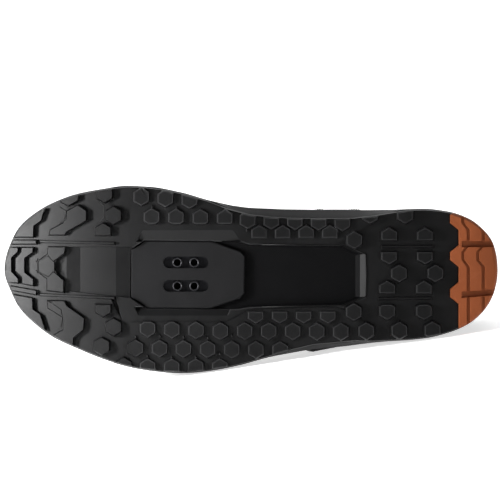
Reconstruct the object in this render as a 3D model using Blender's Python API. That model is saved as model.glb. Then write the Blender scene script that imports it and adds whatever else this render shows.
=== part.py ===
import bpy
import bmesh
import numpy as np
from math import pi
from mathutils import Matrix, Vector
from mathutils.bvhtree import BVHTree

# Driving dimensions in metres. The shoe is worked out standing: toe at -X, outer side at +Y, up +Z.
shoe_length = 0.295
ball_width = 0.112
heel_width = 0.078
instep_height = 0.076
collar_height = 0.068
toe_spring = 0.013
heel_bevel = 0.0025
arch_rise = 0.002
lug_height = 0.004
lug_draft = 0.0004
base_thickness = 0.0035
ball_stack = 0.0065
heel_stack = 0.0135
rim_height = 0.0045
rim_thickness = 0.0028
wall = 0.002
tongue_thickness = 0.003
insole_thickness = 0.0035
strap_width = 0.028
strap_thickness = 0.0022
strap_lean = 0.45
strap_place = 0.666
strap_end = 0.021
tongue_depth = 0.27
tongue_top = 0.672
cleat_plate_thickness = 0.0025
cleat_depth = 0.0030
window_depth = 0.0060
web_height = 0.0016
slot_length = 0.027
slot_width = 0.0069
slot_pitch = 0.014
bolt_pitch = 0.010
bolt_bore = 0.0042
collar_diameter = 0.0061
nut_plate_length = 0.034
nut_plate_width = 0.026
nut_plate_thickness = 0.002
channel_depth = 0.0016
gap = 0.0003

# How far the cutters reach past the shoe.
past = 0.3

stations = 34
across = 4
rib_steps = 10
tip_angle = 0.1

# Outline of the sole. Place along the shoe as a share of its length; inner and outer edge as shares
# of the local width, which runs from the ball width to the heel width.
outline = (
    # place, inner, outer
    (0.000, 0.037, -0.037),
    (0.010, 0.162, 0.058),
    (0.030, 0.263, 0.162),
    (0.060, 0.334, 0.244),
    (0.100, 0.395, 0.321),
    (0.150, 0.442, 0.382),
    (0.200, 0.467, 0.435),
    (0.250, 0.484, 0.477),
    (0.300, 0.478, 0.501),
    (0.360, 0.449, 0.513),
    (0.420, 0.411, 0.508),
    (0.480, 0.394, 0.497),
    (0.550, 0.411, 0.480),
    (0.620, 0.443, 0.482),
    (0.700, 0.484, 0.500),
    (0.780, 0.511, 0.493),
    (0.850, 0.520, 0.472),
    (0.900, 0.500, 0.428),
    (0.940, 0.449, 0.362),
    (0.970, 0.365, 0.266),
    (0.990, 0.263, 0.145),
    (1.000, 0.053, -0.053),
)

# How far the tread is drawn in under the waist, and how far the upper swells past its foot, as
# shares of the ball width; inner and outer side.
waist = (
    # place, tread inner, tread outer, swell inner, swell outer
    (0.00, 0.003, 0.003, 0.005, 0.005),
    (0.20, 0.003, 0.003, 0.010, 0.008),
    (0.42, 0.003, 0.003, 0.012, 0.014),
    (0.47, 0.026, 0.003, 0.014, 0.022),
    (0.55, 0.042, 0.006, 0.016, 0.036),
    (0.62, 0.044, 0.024, 0.016, 0.042),
    (0.70, 0.042, 0.024, 0.014, 0.030),
    (0.76, 0.024, 0.006, 0.012, 0.016),
    (0.82, 0.003, 0.003, 0.012, 0.012),
    (1.00, 0.003, 0.003, 0.018, 0.018),
)

# The last: ridge of the upper above the seat as a share of the instep height, how far the ridge
# lies to the inner side as a share of the ball width, and how square the section is.
last = (
    # place, ridge, shift, square
    (0.00, 0.30, 0.06, 2.30),
    (0.08, 0.34, 0.07, 2.30),
    (0.14, 0.41, 0.07, 2.30),
    (0.22, 0.46, 0.06, 2.25),
    (0.30, 0.52, 0.05, 2.15),
    (0.38, 0.62, 0.04, 2.05),
    (0.45, 0.74, 0.03, 1.95),
    (0.52, 0.88, 0.02, 1.85),
    (0.58, 1.00, 0.01, 1.80),
    (0.64, 1.20, 0.00, 1.90),
    (0.70, 1.50, 0.00, 2.05),
    (0.76, 1.74, 0.00, 2.20),
    (0.84, 1.82, 0.00, 2.30),
    (1.00, 1.82, 0.00, 2.30),
)

# Top edge of the upper from the throat round the ankle to the heel, above the seat, as a share of
# the collar height.
topline = (
    (0.575, 1.60),
    (0.605, 1.36),
    (0.630, 1.16),
    (0.670, 0.98),
    (0.730, 0.86),
    (0.800, 0.83),
    (0.870, 0.86),
    (0.930, 0.95),
    (1.000, 1.04),
    (1.060, 1.06),
)

# Half width of the throat opening and of the tongue, as shares of the ball width.
throat = ((0.425, 0.06), (0.435, 0.10), (0.460, 0.13), (0.640, 0.19), (0.700, 0.21))
tongue_plan = ((0.365, 0.15), (0.380, 0.19), (0.460, 0.235), (0.640, 0.260), (0.760, 0.26))

# Lugs of the toe and ball. Corners are shares of the length and of the ball width, outer side +.
plate_lugs = {
    "toe_front": (
        (-0.016, -0.159), (0.032, -0.159), (0.031, -0.132), (0.018, -0.101),
        (0.018, -0.029), (0.032, 0.008), (0.032, 0.036), (-0.016, 0.026),
    ),
    "toe_band": (
        (0.037, -0.159), (0.036, -0.132), (0.024, -0.098), (0.024, -0.032),
        (0.038, 0.005), (0.038, 0.038), (0.063, 0.050), (0.063, 0.011),
        (0.045, -0.026), (0.045, -0.098), (0.062, -0.130), (0.063, -0.159),
    ),
    "toe_inner": (
        (-0.016, -0.209), (0.063, -0.209), (0.064, -0.270), (0.079, -0.297),
        (0.088, -0.371), (0.088, -0.488), (-0.016, -0.488),
    ),
    "toe_outer": (
        (-0.016, 0.080), (0.014, 0.088), (0.061, 0.110), (0.062, 0.170),
        (0.077, 0.196), (0.087, 0.276), (0.087, 0.397), (-0.016, 0.397),
    ),
    "ball_centre": (
        (0.092, -0.162), (0.090, -0.122), (0.070, -0.085), (0.070, -0.026),
        (0.089, 0.011), (0.089, 0.074), (0.125, 0.085), (0.125, 0.016),
        (0.106, -0.026), (0.106, -0.085), (0.126, -0.122), (0.129, -0.162),
    ),
    "ball_inner": (
        (0.093, -0.220), (0.096, -0.252), (0.123, -0.289), (0.129, -0.350),
        (0.153, -0.384), (0.171, -0.352), (0.171, -0.297), (0.131, -0.238),
        (0.127, -0.220),
    ),
    "rim_inner": (
        (0.110, -0.404), (0.110, -0.514), (0.159, -0.514), (0.154, -0.404),
        (0.134, -0.374),
    ),
    "ball_outer": (
        (0.090, 0.124), (0.091, 0.167), (0.121, 0.215), (0.122, 0.278),
        (0.103, 0.307), (0.103, 0.429), (0.143, 0.429), (0.145, 0.323),
        (0.165, 0.281), (0.167, 0.217), (0.131, 0.151), (0.126, 0.124),
    ),
}

# Half size of a hexagon lug along the shoe, as a share of its length, and across it, as a share of
# the ball width. Rows: how many, first and last centre, and the edges that cut the row straight.
hexagon_along = 0.0192
hexagon_across = 0.0506
hexagon_rows = (
    # name, count, place from, place to, side from, side to, cut below, cut above
    ("inner_edge", 3, 0.281, 0.378, -0.424, -0.408, -1.0, 1.0),
    ("inner", 4, 0.302, 0.449, -0.318, -0.310, -1.0, -0.278),
    ("inner_arch", 5, 0.495, 0.685, -0.302, -0.289, -1.0, 1.0),
    ("window_inner", 4, 0.518, 0.660, -0.228, -0.228, -1.0, -0.204),
    ("window_inner_end", 1, 0.709, 0.709, -0.196, -0.196, -1.0, 1.0),
    ("window_outer", 4, 0.511, 0.656, 0.199, 0.199, 0.180, 1.0),
    ("window_outer_end", 1, 0.708, 0.708, 0.185, 0.185, -1.0, 1.0),
    ("outer", 4, 0.294, 0.440, 0.273, 0.286, 0.233, 1.0),
    ("outer_arch", 5, 0.489, 0.682, 0.286, 0.289, -1.0, 1.0),
    ("outer_second", 7, 0.269, 0.560, 0.376, 0.387, -1.0, 1.0),
    ("outer_edge", 4, 0.294, 0.439, 0.477, 0.477, -1.0, 1.0),
    ("front_inner_edge", 1, 0.207, 0.207, -0.440, -0.440, -1.0, 1.0),
    ("front_inner", 1, 0.225, 0.225, -0.326, -0.326, -1.0, 1.0),
    ("front_mid_inner", 1, 0.204, 0.204, -0.238, -0.238, -1.0, -0.217),
    ("front_mid_outer", 1, 0.204, 0.204, 0.164, 0.164, 0.143, 1.0),
    ("front_outer", 1, 0.225, 0.225, 0.265, 0.265, -1.0, 1.0),
    ("front_outer_second", 1, 0.201, 0.201, 0.366, 0.366, -1.0, 1.0),
    ("front_outer_edge", 1, 0.246, 0.246, 0.472, 0.472, -1.0, 1.0),
    ("heel_inner_edge", 2, 0.741, 0.811, -0.329, -0.329, -1.0, 1.0),
    ("heel_upper", 2, 0.779, 0.851, -0.215, -0.215, -1.0, -0.191),
    ("heel_upper_low", 2, 0.779, 0.851, -0.114, -0.114, -0.135, 1.0),
    ("heel_centre", 2, 0.799, 0.872, -0.019, -0.019, -1.0, 1.0),
    ("heel_lower", 2, 0.775, 0.849, 0.066, 0.066, -1.0, 0.090),
    ("heel_lower_low", 2, 0.775, 0.849, 0.180, 0.180, 0.143, 1.0),
    ("heel_outer", 3, 0.733, 0.866, 0.286, 0.281, -1.0, 1.0),
)

# Long raised bars: two ends, width as a share of the ball width, height as a share of the lugs.
bars = (
    # name, place from, side from, place to, side to, width, height
    ("toe_inner_bar", 0.014, -0.185, 0.069, -0.185, 0.026, 0.85),
    ("ball_inner_bar", 0.074, -0.188, 0.228, -0.178, 0.016, 0.60),
    ("toe_outer_bar", 0.014, 0.059, 0.069, 0.084, 0.028, 0.85),
    ("ball_outer_bar", 0.074, 0.094, 0.228, 0.112, 0.016, 0.60),
    ("heel_upper_bar", 0.763, -0.161, 0.868, -0.161, 0.016, 0.45),
    ("heel_lower_bar", 0.757, 0.115, 0.866, 0.112, 0.016, 0.45),
)

# Openings through the tread, corners as shares of the length and of the ball width.
cleat_corners = (
    (0.259, -0.146), (0.258, 0.111), (0.292, 0.168), (0.417, 0.172), (0.479, 0.119),
    (0.489, 0.090), (0.490, -0.111), (0.481, -0.138), (0.423, -0.191), (0.286, -0.193),
)
window_floor = (
    (0.420, -0.186), (0.479, -0.182), (0.499, -0.165), (0.673, -0.161), (0.681, -0.156),
    (0.712, -0.117), (0.712, 0.106), (0.681, 0.143), (0.673, 0.145), (0.499, 0.152),
    (0.475, 0.165), (0.412, 0.170),
)
window_mouth = (
    (0.420, -0.191), (0.479, -0.188), (0.499, -0.172), (0.674, -0.169), (0.688, -0.179),
    (0.733, -0.122), (0.733, 0.106), (0.688, 0.159), (0.674, 0.151), (0.499, 0.160),
    (0.475, 0.170), (0.412, 0.175),
)
# Slope into the cleat plate from the toe: places, depth as shares of the cleat's, and its sides.
ramp = (
    # place, depth, inner side, outer side
    (0.129, 0.00, -0.159, 0.074),
    (0.157, 0.56, -0.159, 0.082),
    (0.229, 0.56, -0.159, 0.102),
    (0.262, 1.00, -0.159, 0.111),
)
# Slopes beside the cleat plate: side at the wall and at the plate, and the places of both ends.
shoulders = (
    # wall side, plate side, from and to at the wall, from and to at the plate
    (-0.279, -0.187, 0.288, 0.457, 0.272, 0.481),
    (0.229, 0.160, 0.278, 0.449, 0.268, 0.461),
)
# Raised web that the middle hexagons stand on: its edge towards the middle of the sole.
web_rows = (
    # place, inner side, outer side
    (0.258, -0.290, 0.240),
    (0.452, -0.290, 0.240),
    (0.485, -0.215, 0.195),
    (0.500, -0.182, 0.172),
    (0.530, -0.180, 0.170),
    (0.560, -0.180, 0.168),
    (0.585, -0.180, 0.167),
    (0.610, -0.180, 0.166),
    (0.640, -0.180, 0.164),
    (0.672, -0.180, 0.162),
    (0.690, -0.200, 0.178),
    (0.740, -0.280, 0.260),
)
cleat_centre = (0.370, -0.0145)

# Front edge of the heel insert: straight edge, tab edge, tab centres and how the tabs slope.
insert_edge = 0.918
insert_tab = 0.901
insert_tabs = (-0.307, -0.111, 0.085)
tab_flat = 0.021
tab_foot = 0.058
channel_width = 0.006
channels = (0.938, 0.968)
channel_wave = 0.011
long_channels = ((-0.175, -0.175), (0.094, 0.056))

colours = {
    "outsole": ((0.022, 0.022, 0.023), 0.62, 0.0),
    "heel_tread": ((0.30, 0.105, 0.045), 0.60, 0.0),
    "cleat_plate": ((0.030, 0.030, 0.031), 0.55, 0.0),
    "cleat_nuts": ((0.16, 0.16, 0.165), 0.40, 1.0),
    "midsole": ((0.028, 0.028, 0.030), 0.60, 0.0),
    "upper": ((0.020, 0.020, 0.022), 0.75, 0.0),
    "tongue": ((0.022, 0.022, 0.024), 0.85, 0.0),
    "instep_strap": ((0.016, 0.016, 0.017), 0.70, 0.0),
    "insole": ((0.10, 0.10, 0.105), 0.85, 0.0),
}


def spline(table, column, places, warp=None):
    """Value of a table's column between its rows, with no overshoot."""
    xs = np.array([row[0] for row in table], float)
    ys = np.array([row[column] for row in table], float)
    places = np.asarray(places, float)
    if warp is not None:
        xs, places = warp(xs), warp(places)
    steps = np.diff(xs)
    slopes = np.diff(ys) / steps
    rates = np.zeros(len(xs))
    rates[0], rates[-1] = slopes[0], slopes[-1]
    same = slopes[:-1] * slopes[1:] > 0
    before, after = slopes[:-1][same], slopes[1:][same]
    weight = (2 * steps[1:] + steps[:-1])[same]
    other = (steps[1:] + 2 * steps[:-1])[same]
    rates[1:-1][same] = (weight + other) / (weight / before + other / after)
    places = np.clip(places, xs[0], xs[-1])
    k = np.clip(np.searchsorted(xs, places, side="right") - 1, 0, len(xs) - 2)
    t = (places - xs[k]) / steps[k]
    low = ys[k] * (1 + 2 * t) * (1 - t) ** 2 + steps[k] * rates[k] * t * (1 - t) ** 2
    high = ys[k + 1] * t * t * (3 - 2 * t) + steps[k] * rates[k + 1] * t * t * (t - 1)
    return low + high


def turn(places):
    return np.arccos(np.clip(1 - 2 * places, -1, 1)) / pi


def along(places):
    return (np.asarray(places, float) - 0.5) * shoe_length


def place_of(x):
    return np.asarray(x, float) / shoe_length + 0.5


def local_width(places):
    t = np.clip((np.asarray(places, float) - 0.36) / 0.44, 0, 1)
    t = t * t * (3 - 2 * t)
    return ball_width + (heel_width - ball_width) * t


def edge(angle):
    """Point of the sole's outline: angle 0 at the toe, pi at the heel, outer side between."""
    places = (1 - np.cos(angle)) / 2
    outer = spline(outline, 2, places, turn) * local_width(places)
    inner = -spline(outline, 1, places, turn) * local_width(places)
    return np.stack([along(places), np.where(np.sin(angle) >= 0, outer, inner)], -1)


def loop_angles():
    tip = np.linspace(-tip_angle, tip_angle, across + 1)
    sides = np.linspace(tip_angle, pi - tip_angle, stations + 1)[1:-1]
    return np.concatenate([tip, sides, pi + tip, 2 * pi - sides[::-1]])


angles = loop_angles()
nudge = 1e-4
tangents = edge(angles + nudge) - edge(angles - nudge)
tangents /= np.linalg.norm(tangents, axis=1)[:, None]
outward = np.stack([-tangents[:, 1], tangents[:, 0]], -1)
loop_places = (1 - np.cos(angles)) / 2
is_outer = np.sin(angles) >= 0
count = len(angles)


def sided(table, inner_column):
    inner = spline(table, inner_column, loop_places)
    outer = spline(table, inner_column + 1, loop_places)
    blend = 0.5 + 0.5 * np.clip(np.sin(angles) / 0.35, -1, 1)
    return (inner + (outer - inner) * blend) * ball_width


tuck = sided(waist, 1)
swell = sided(waist, 3)


def plan(inset):
    return edge(angles) - outward * np.broadcast_to(inset, count)[:, None]


def ground(x):
    """Height of the lug tips: toe spring, flat ball, low arch, flat heel and its bevel."""
    s = place_of(x)
    toe = np.clip((0.27 - s) / 0.27, 0, None) ** 1.9 * toe_spring
    back = np.clip((s - 0.93) / 0.07, 0, None) ** 2 * heel_bevel
    arch = np.clip(np.sin(pi * np.clip((s - 0.45) / 0.27, 0, 1)), 0, 1) ** 2 * arch_rise
    return toe + back + arch


def base(x):
    return ground(x) + lug_height


def midsole_foot(x):
    return base(x) + base_thickness + gap


def seat(x):
    s = place_of(x)
    t = np.clip((s - 0.36) / 0.42, 0, 1)
    t = t * t * (3 - 2 * t)
    front = np.clip((0.25 - s) / 0.25, 0, 1) * 0.0015
    stack = ball_stack + (heel_stack - ball_stack) * t - front
    level = np.clip((s - 0.93) / 0.07, 0, None) ** 2 * heel_bevel
    arch = np.clip(np.sin(pi * np.clip((s - 0.45) / 0.27, 0, 1)), 0, 1) ** 2 * arch_rise
    return midsole_foot(x) - level - arch + stack


def new_object(name, points, faces, smooth=False):
    mesh = bpy.data.meshes.new(name)
    mesh.from_pydata([tuple(p) for p in np.asarray(points, float)], [], faces)
    body = bmesh.new()
    body.from_mesh(mesh)
    bmesh.ops.recalc_face_normals(body, faces=body.faces)
    for face in body.faces:
        face.smooth = smooth
    body.to_mesh(mesh)
    body.free()
    item = bpy.data.objects.new(name, mesh)
    bpy.context.scene.collection.objects.link(item)
    return item


def grid_indices():
    """Row by row from toe to heel, the loop index of the ends of each row."""
    inner = [0] + [count - j for j in range(1, stations)] + [across + stations + across]
    outer = [across] + [across + j for j in range(1, stations)] + [across + stations]
    return inner, outer


def grid(points):
    """Fills a closed loop of points with rows across the shoe."""
    inner, outer = grid_indices()
    t = np.linspace(0, 1, across + 1)[:, None]
    rows = [points[i] * (1 - t) + points[o] * t for i, o in zip(inner, outer)]
    rows[0] = points[: across + 1]
    rows[-1] = points[across + stations : 2 * across + stations + 1][::-1]
    return np.array(rows)


def grid_ids(loop_ids, first_new):
    inner, outer = grid_indices()
    table = np.zeros((stations + 1, across + 1), int)
    fresh = []
    for j in range(stations + 1):
        for c in range(across + 1):
            if j == 0:
                table[j, c] = loop_ids[c]
            elif j == stations:
                table[j, c] = loop_ids[2 * across + stations - c]
            elif c == 0:
                table[j, c] = loop_ids[inner[j]]
            elif c == across:
                table[j, c] = loop_ids[outer[j]]
            else:
                table[j, c] = first_new + len(fresh)
                fresh.append((j, c))
    faces = []
    for j in range(stations):
        for c in range(across):
            a, b = table[j, c], table[j + 1, c]
            d, e = table[j + 1, c + 1], table[j, c + 1]
            faces.append((a, b, d))
            faces.append((a, d, e))
    return faces, fresh


def lift(points, height):
    return np.column_stack([points, height(points[:, 0])])


def band_faces(low, high):
    faces = []
    for i in range(count):
        k = (i + 1) % count
        faces.append((low[i], low[k], high[k], high[i]))
    return faces


def cover(points, faces, loop, loop_ids, height):
    """Closes one end of a body with a grid at the given height."""
    rows = grid(loop[:, :2])
    more, fresh = grid_ids(loop_ids, len(points))
    for j, c in fresh:
        x, y = rows[j, c]
        points.append((x, y, float(height(x))))
    faces.extend(more)


def slab(name, levels, smooth=True):
    """Closed body from loops, each a drawing-in of the outline and a height function."""
    points, faces, loops = [], [], []
    for inset, height in levels:
        loop = lift(plan(inset), height)
        loops.append((loop, list(range(len(points), len(points) + count))))
        points.extend(loop)
    for (_, low), (_, high) in zip(loops, loops[1:]):
        faces.extend(band_faces(low, high))
    cover(points, faces, loops[0][0], loops[0][1], levels[0][1])
    cover(points, faces, loops[-1][0], loops[-1][1], levels[-1][1])
    return new_object(name, points, faces, smooth)


def combine(item, tool, how, many=False):
    step = item.modifiers.new("step", "BOOLEAN")
    step.operation = how
    step.solver = "EXACT"
    step.use_self = many
    step.object = tool
    bpy.context.view_layer.update()
    done = item.evaluated_get(bpy.context.evaluated_depsgraph_get())
    mesh = bpy.data.meshes.new_from_object(done)
    item.modifiers.clear()
    item.data = mesh
    bpy.data.objects.remove(tool)


def cut(item, tool):
    combine(item, tool, "DIFFERENCE")


def keep(item, tool):
    combine(item, tool, "INTERSECT")


def join(item, tool):
    combine(item, tool, "UNION")


def prism(name, corners, low, high, top_corners=None):
    """Closed prism. Corners are plan points in metres; low and high are height functions."""
    low_ring = np.asarray(corners, float)
    high_ring = low_ring if top_corners is None else np.asarray(top_corners, float)
    n = len(low_ring)
    points = [(x, y, float(low(x))) for x, y in low_ring]
    points += [(x, y, float(high(x))) for x, y in high_ring]
    faces = [(i, (i + 1) % n, n + (i + 1) % n, n + i) for i in range(n)]
    faces.append(tuple(reversed(range(n))))
    faces.append(tuple(range(n, 2 * n)))
    return new_object(name, points, faces)


def flat(value):
    return lambda x: value + 0 * np.asarray(x, float)


def in_metres(corners):
    return [(float(along(s)), w * ball_width) for s, w in corners]


def drawn_in(corners, distance):
    """Polygon with every side moved inwards by a distance."""
    ring = np.asarray(corners, float)
    area = np.sum(ring[:, 0] * np.roll(ring[:, 1], -1) - np.roll(ring[:, 0], -1) * ring[:, 1])
    if area < 0:
        ring = ring[::-1]
    ahead = np.roll(ring, -1, axis=0) - ring
    ahead /= np.linalg.norm(ahead, axis=1)[:, None]
    normal = np.stack([-ahead[:, 1], ahead[:, 0]], -1)
    before = np.roll(normal, 1, axis=0)
    bisector = normal + before
    bisector /= (1 + np.sum(normal * before, axis=1))[:, None]
    return ring + bisector * distance


def clipped(corners, side_from, side_to):
    """Polygon cut straight at two side limits."""
    ring = [tuple(c) for c in corners]
    for limit, sign in ((side_from, 1), (side_to, -1)):
        out = []
        for i, (x, y) in enumerate(ring):
            px, py = ring[i - 1]
            here, there = sign * (y - limit), sign * (py - limit)
            if (here > 0) != (there > 0):
                t = there / (there - here)
                out.append((px + (x - px) * t, limit))
            if here > 0:
                out.append((x, y))
        ring = out
    return ring


def lug_data(corners, height):
    """Drafted lug whose root lies inside the base and whose tip lies a height under it."""
    root = drawn_in(corners, -lug_draft)
    tip = drawn_in(corners, lug_draft)
    n = len(root)
    points = [(x, y, float(base(x)) + 0.4 * base_thickness) for x, y in root]
    points += [(x, y, float(base(x)) - height) for x, y in tip]
    faces = [(i, (i + 1) % n, n + (i + 1) % n, n + i) for i in range(n)]
    faces.append(tuple(reversed(range(n))))
    faces.append(tuple(range(n, 2 * n)))
    return points, faces


def hexagon(place, side):
    turns = np.arange(6) * pi / 3 + pi / 6
    x = float(along(place)) + hexagon_along * shoe_length * np.cos(turns)
    y = (side + hexagon_across * np.sin(turns)) * ball_width
    return list(zip(x, y))


def bar_corners(row):
    _, s0, w0, s1, w1, width, _ = row
    start = np.array([along(s0), w0 * ball_width])
    end = np.array([along(s1), w1 * ball_width])
    run = (end - start) / np.linalg.norm(end - start)
    half = np.array([-run[1], run[0]]) * width * ball_width / 2
    return [tuple(start - half), tuple(end - half), tuple(end + half), tuple(start + half)]


def web_strip(column):
    """Raised web on one side of the sole, from its inner edge out past the outline."""
    rows = [(float(along(row[0])), row[column] * ball_width) for row in web_rows]
    far = np.sign(rows[0][1]) * ball_width
    points = []
    for x, y in rows:
        foot, tip = float(base(x)) + 0.5 * base_thickness, float(base(x)) - web_height
        points += [(x, y, foot), (x, y, tip), (x, far, tip), (x, far, foot)]
    last_row = 4 * (len(rows) - 1)
    faces = [(0, 1, 2, 3), (last_row + 3, last_row + 2, last_row + 1, last_row)]
    for start in range(0, last_row, 4):
        faces += [(start + k, start + (k + 1) % 4, start + 4 + (k + 1) % 4, start + 4 + k) for k in range(4)]
    return loose_free(new_object("web", points, faces))


def all_lugs():
    """One mesh of every lug, to be trimmed to the outline and joined to the base."""
    points, faces = [], []
    shapes = [(in_metres(corners), lug_height) for corners in plate_lugs.values()]
    for _, number, s0, s1, w0, w1, cut_from, cut_to in hexagon_rows:
        for t in np.linspace(0, 1, number) if number > 1 else (0.0,):
            corners = hexagon(s0 + (s1 - s0) * t, w0 + (w1 - w0) * t)
            corners = clipped(corners, cut_from * ball_width, cut_to * ball_width)
            shapes.append((corners, lug_height))
    for row in bars:
        shapes.append((bar_corners(row), row[6] * lug_height))
    for corners, height in shapes:
        more, rings = lug_data(corners, height)
        start = len(points)
        points.extend(more)
        faces.extend(tuple(start + i for i in ring) for ring in rings)
    return new_object("lugs", points, faces)


def window_cutter():
    """Sloping hole of the midfoot window, through the outsole and into the midsole."""
    mouth, floor = np.array(in_metres(window_mouth)), np.array(in_metres(window_floor))
    over = 0.1
    return prism(
        "window",
        mouth + (mouth - floor) * over,
        lambda x: base(x) - over * window_depth,
        lambda x: base(x) + window_depth,
        floor,
    )


def wave(straight, tab, tabs, reach, foot):
    """Points of a wavy line across the heel: straight place, tab place and tab centres."""
    line = []
    for centre in tabs:
        line.append((straight, centre - foot))
        line.append((tab, centre - tab_flat))
        line.append((tab, centre + tab_flat))
        line.append((straight, centre + foot))
    first = (line[0][0], -reach)
    return [first] + line + [(straight, reach)]


def insert_region(clearance):
    front = wave(insert_edge, insert_tab, insert_tabs, 0.6, tab_foot)
    shift = clearance / shoe_length
    line = [(s + shift, w) for s, w in front]
    return in_metres(line + [(1.1, 0.6), (1.1, -0.6)])


def ribbon(line, width):
    """Closed strip either side of a line across the heel."""
    half = width / 2
    one = [(s - half, w) for s, w in line]
    other = [(s + half, w) for s, w in line]
    return in_metres(one + other[::-1])


def make_heel_tread():
    body = slab(
        "heel_tread",
        [
            (tuck + 0.0016, ground),
            (tuck + 0.0004, lambda x: ground(x) + 0.0016),
            (tuck, lambda x: base(x) + 0.3 * base_thickness),
            (tuck, lambda x: base(x) + base_thickness),
        ],
    )
    keep(body, prism("region", insert_region(gap), flat(-past), flat(past)))

    def depth(x):
        return ground(x) + channel_depth

    for place in channels:
        line = wave(place, place - channel_wave, insert_tabs[:2], 0.6, tab_foot)
        cut(body, prism("channel", ribbon(line, channel_width), flat(-past), depth))
    for front, back in long_channels:
        half = 0.016
        corners = [(0.925, front - half), (1.1, back - half), (1.1, back + half), (0.925, front + half)]
        cut(body, prism("channel", in_metres(corners), flat(-past), depth))
    return body


def side_prism(name, profile, y_from, y_to):
    """Prism across the shoe from a side-view polygon of (x, z)."""
    n = len(profile)
    points = [(x, y, z) for side in (y_from, y_to) for (x, z), y in zip(profile, np.broadcast_to(side, n))]
    faces = [(i, (i + 1) % n, n + (i + 1) % n, n + i) for i in range(n)]
    faces.append(tuple(reversed(range(n))))
    faces.append(tuple(range(n, 2 * n)))
    return new_object(name, points, faces)


def make_outsole():
    body = slab(
        "outsole",
        [(tuck + 0.2 * base_thickness, base), (tuck, lambda x: base(x) + base_thickness)],
    )
    trim = tuck + 0.26 * base_thickness
    lugs = all_lugs()
    for raised, inset in ((web_strip(1), trim + gap), (web_strip(2), trim + gap), (lugs, trim)):
        keep(raised, slab("trim", [(inset, flat(-past)), (inset, flat(past))]))
        combine(body, raised, "UNION", many=raised == lugs)
    cut(body, prism("region", insert_region(-0.0001), flat(-past), flat(past)))
    cut(body, prism("window", in_metres(cleat_corners), flat(-past), flat(past)))
    cut(body, window_cutter())
    rows = [(float(along(s)), depth * cleat_depth, y0 * ball_width, y1 * ball_width) for s, depth, y0, y1 in ramp]
    rows += [(x, -lug_height, y0, y1) for x, _, y0, y1 in (rows[-1], rows[0])]
    profile = [(x, float(base(x)) + depth) for x, depth, _, _ in rows]
    cut(body, side_prism("ramp", profile, [row[2] for row in rows], [row[3] for row in rows]))
    for wall_side, plate_side, wall_from, wall_to, plate_from, plate_to in shoulders:
        ends = ((wall_from, plate_from), (wall_to, plate_to))
        points = []
        for at_wall, at_plate in ends:
            for place, side, depth in (
                (at_wall, wall_side, 0.0),
                (at_plate, plate_side, cleat_depth),
                (at_plate, plate_side, -lug_height),
                (at_wall, wall_side, -lug_height),
            ):
                x = float(along(place))
                points.append((x, side * ball_width, float(base(x)) - web_height * (depth <= 0) + depth))
        faces = [(i, (i + 1) % 4, 4 + (i + 1) % 4, 4 + i) for i in range(4)]
        faces += [(3, 2, 1, 0), (4, 5, 6, 7)]
        cut(body, loose_free(new_object("shoulder", points, faces)))
    return body


def rounded_slot(x, y, length, width, steps=8):
    turns = np.linspace(-pi / 2, pi / 2, steps + 1)
    reach = (length - width) / 2
    right = [(x + reach + width / 2 * np.cos(a), y + width / 2 * np.sin(a)) for a in turns]
    left = [(x - reach - width / 2 * np.cos(a), y - width / 2 * np.sin(a)) for a in turns]
    return right + left


def plate_foot():
    return float(base(along(cleat_centre[0]))) + cleat_depth


def centre_of_cleat():
    return float(along(cleat_centre[0])), cleat_centre[1] * ball_width


def make_cleat_plate():
    low = plate_foot()
    high = low + cleat_plate_thickness
    ring = drawn_in(in_metres(cleat_corners), gap)
    body = prism("cleat_plate", drawn_in(ring, 0.0006), flat(low), flat(low + 0.0006), ring)
    join(body, prism("upper_part", ring, flat(low + 0.0006 - 1e-5), flat(high)))
    x, y = centre_of_cleat()
    for side in (-1, 1):
        corners = rounded_slot(x, y + side * slot_pitch / 2, slot_length, slot_width)
        cut(body, prism("slot", corners, flat(low - 0.01), flat(high + 0.01)))
    return body


def ring_corners(x, y, diameter, steps=20):
    turns = np.arange(steps) * 2 * pi / steps
    return [(x + diameter / 2 * np.cos(a), y + diameter / 2 * np.sin(a)) for a in turns]


def box_corners(x, y, length, width):
    return [
        (x - length / 2, y - width / 2),
        (x + length / 2, y - width / 2),
        (x + length / 2, y + width / 2),
        (x - length / 2, y + width / 2),
    ]


def nut_foot():
    return plate_foot() + cleat_plate_thickness + gap


def make_cleat_nuts():
    x, y = centre_of_cleat()
    low = nut_foot()
    high = low + nut_plate_thickness
    corners = box_corners(x, y, nut_plate_length, nut_plate_width)
    body = prism("cleat_nuts", corners, flat(low), flat(high))
    spots = [(sx, sy) for sx in (-1, 1) for sy in (-1, 1)]
    for sx, sy in spots:
        place = (x + sx * bolt_pitch / 2, y + sy * slot_pitch / 2)
        foot = plate_foot() + 0.0004
        join(body, prism("collar", ring_corners(*place, collar_diameter), flat(foot), flat(low + 0.001)))
    for sx, sy in spots:
        place = (x + sx * bolt_pitch / 2, y + sy * slot_pitch / 2)
        cut(body, prism("bore", ring_corners(*place, bolt_bore), flat(low - 0.01), flat(high + 0.01)))
    return body


def make_midsole():
    def rim(x):
        return seat(x) + rim_height

    def part_way(share):
        return lambda x: midsole_foot(x) + share * (rim(x) - midsole_foot(x))

    body = slab(
        "midsole",
        [
            (tuck + 0.0002, midsole_foot),
            (0.45 * tuck + 0.0002, part_way(0.30)),
            (0.0, part_way(0.62)),
            (0.0001, part_way(0.90)),
            (0.0008, rim),
            (rim_thickness, rim),
            (rim_thickness, seat),
        ],
    )
    pocket = drawn_in(in_metres(cleat_corners), 0)
    top = plate_foot() + cleat_plate_thickness + gap
    cut(body, prism("pocket", pocket, flat(-past), flat(top)))
    x, y = centre_of_cleat()
    corners = box_corners(x, y, nut_plate_length + 2 * gap, nut_plate_width + 2 * gap)
    cut(body, prism("pocket", corners, flat(-past), flat(nut_foot() + nut_plate_thickness + gap)))
    cut(body, window_cutter())
    return body


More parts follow.
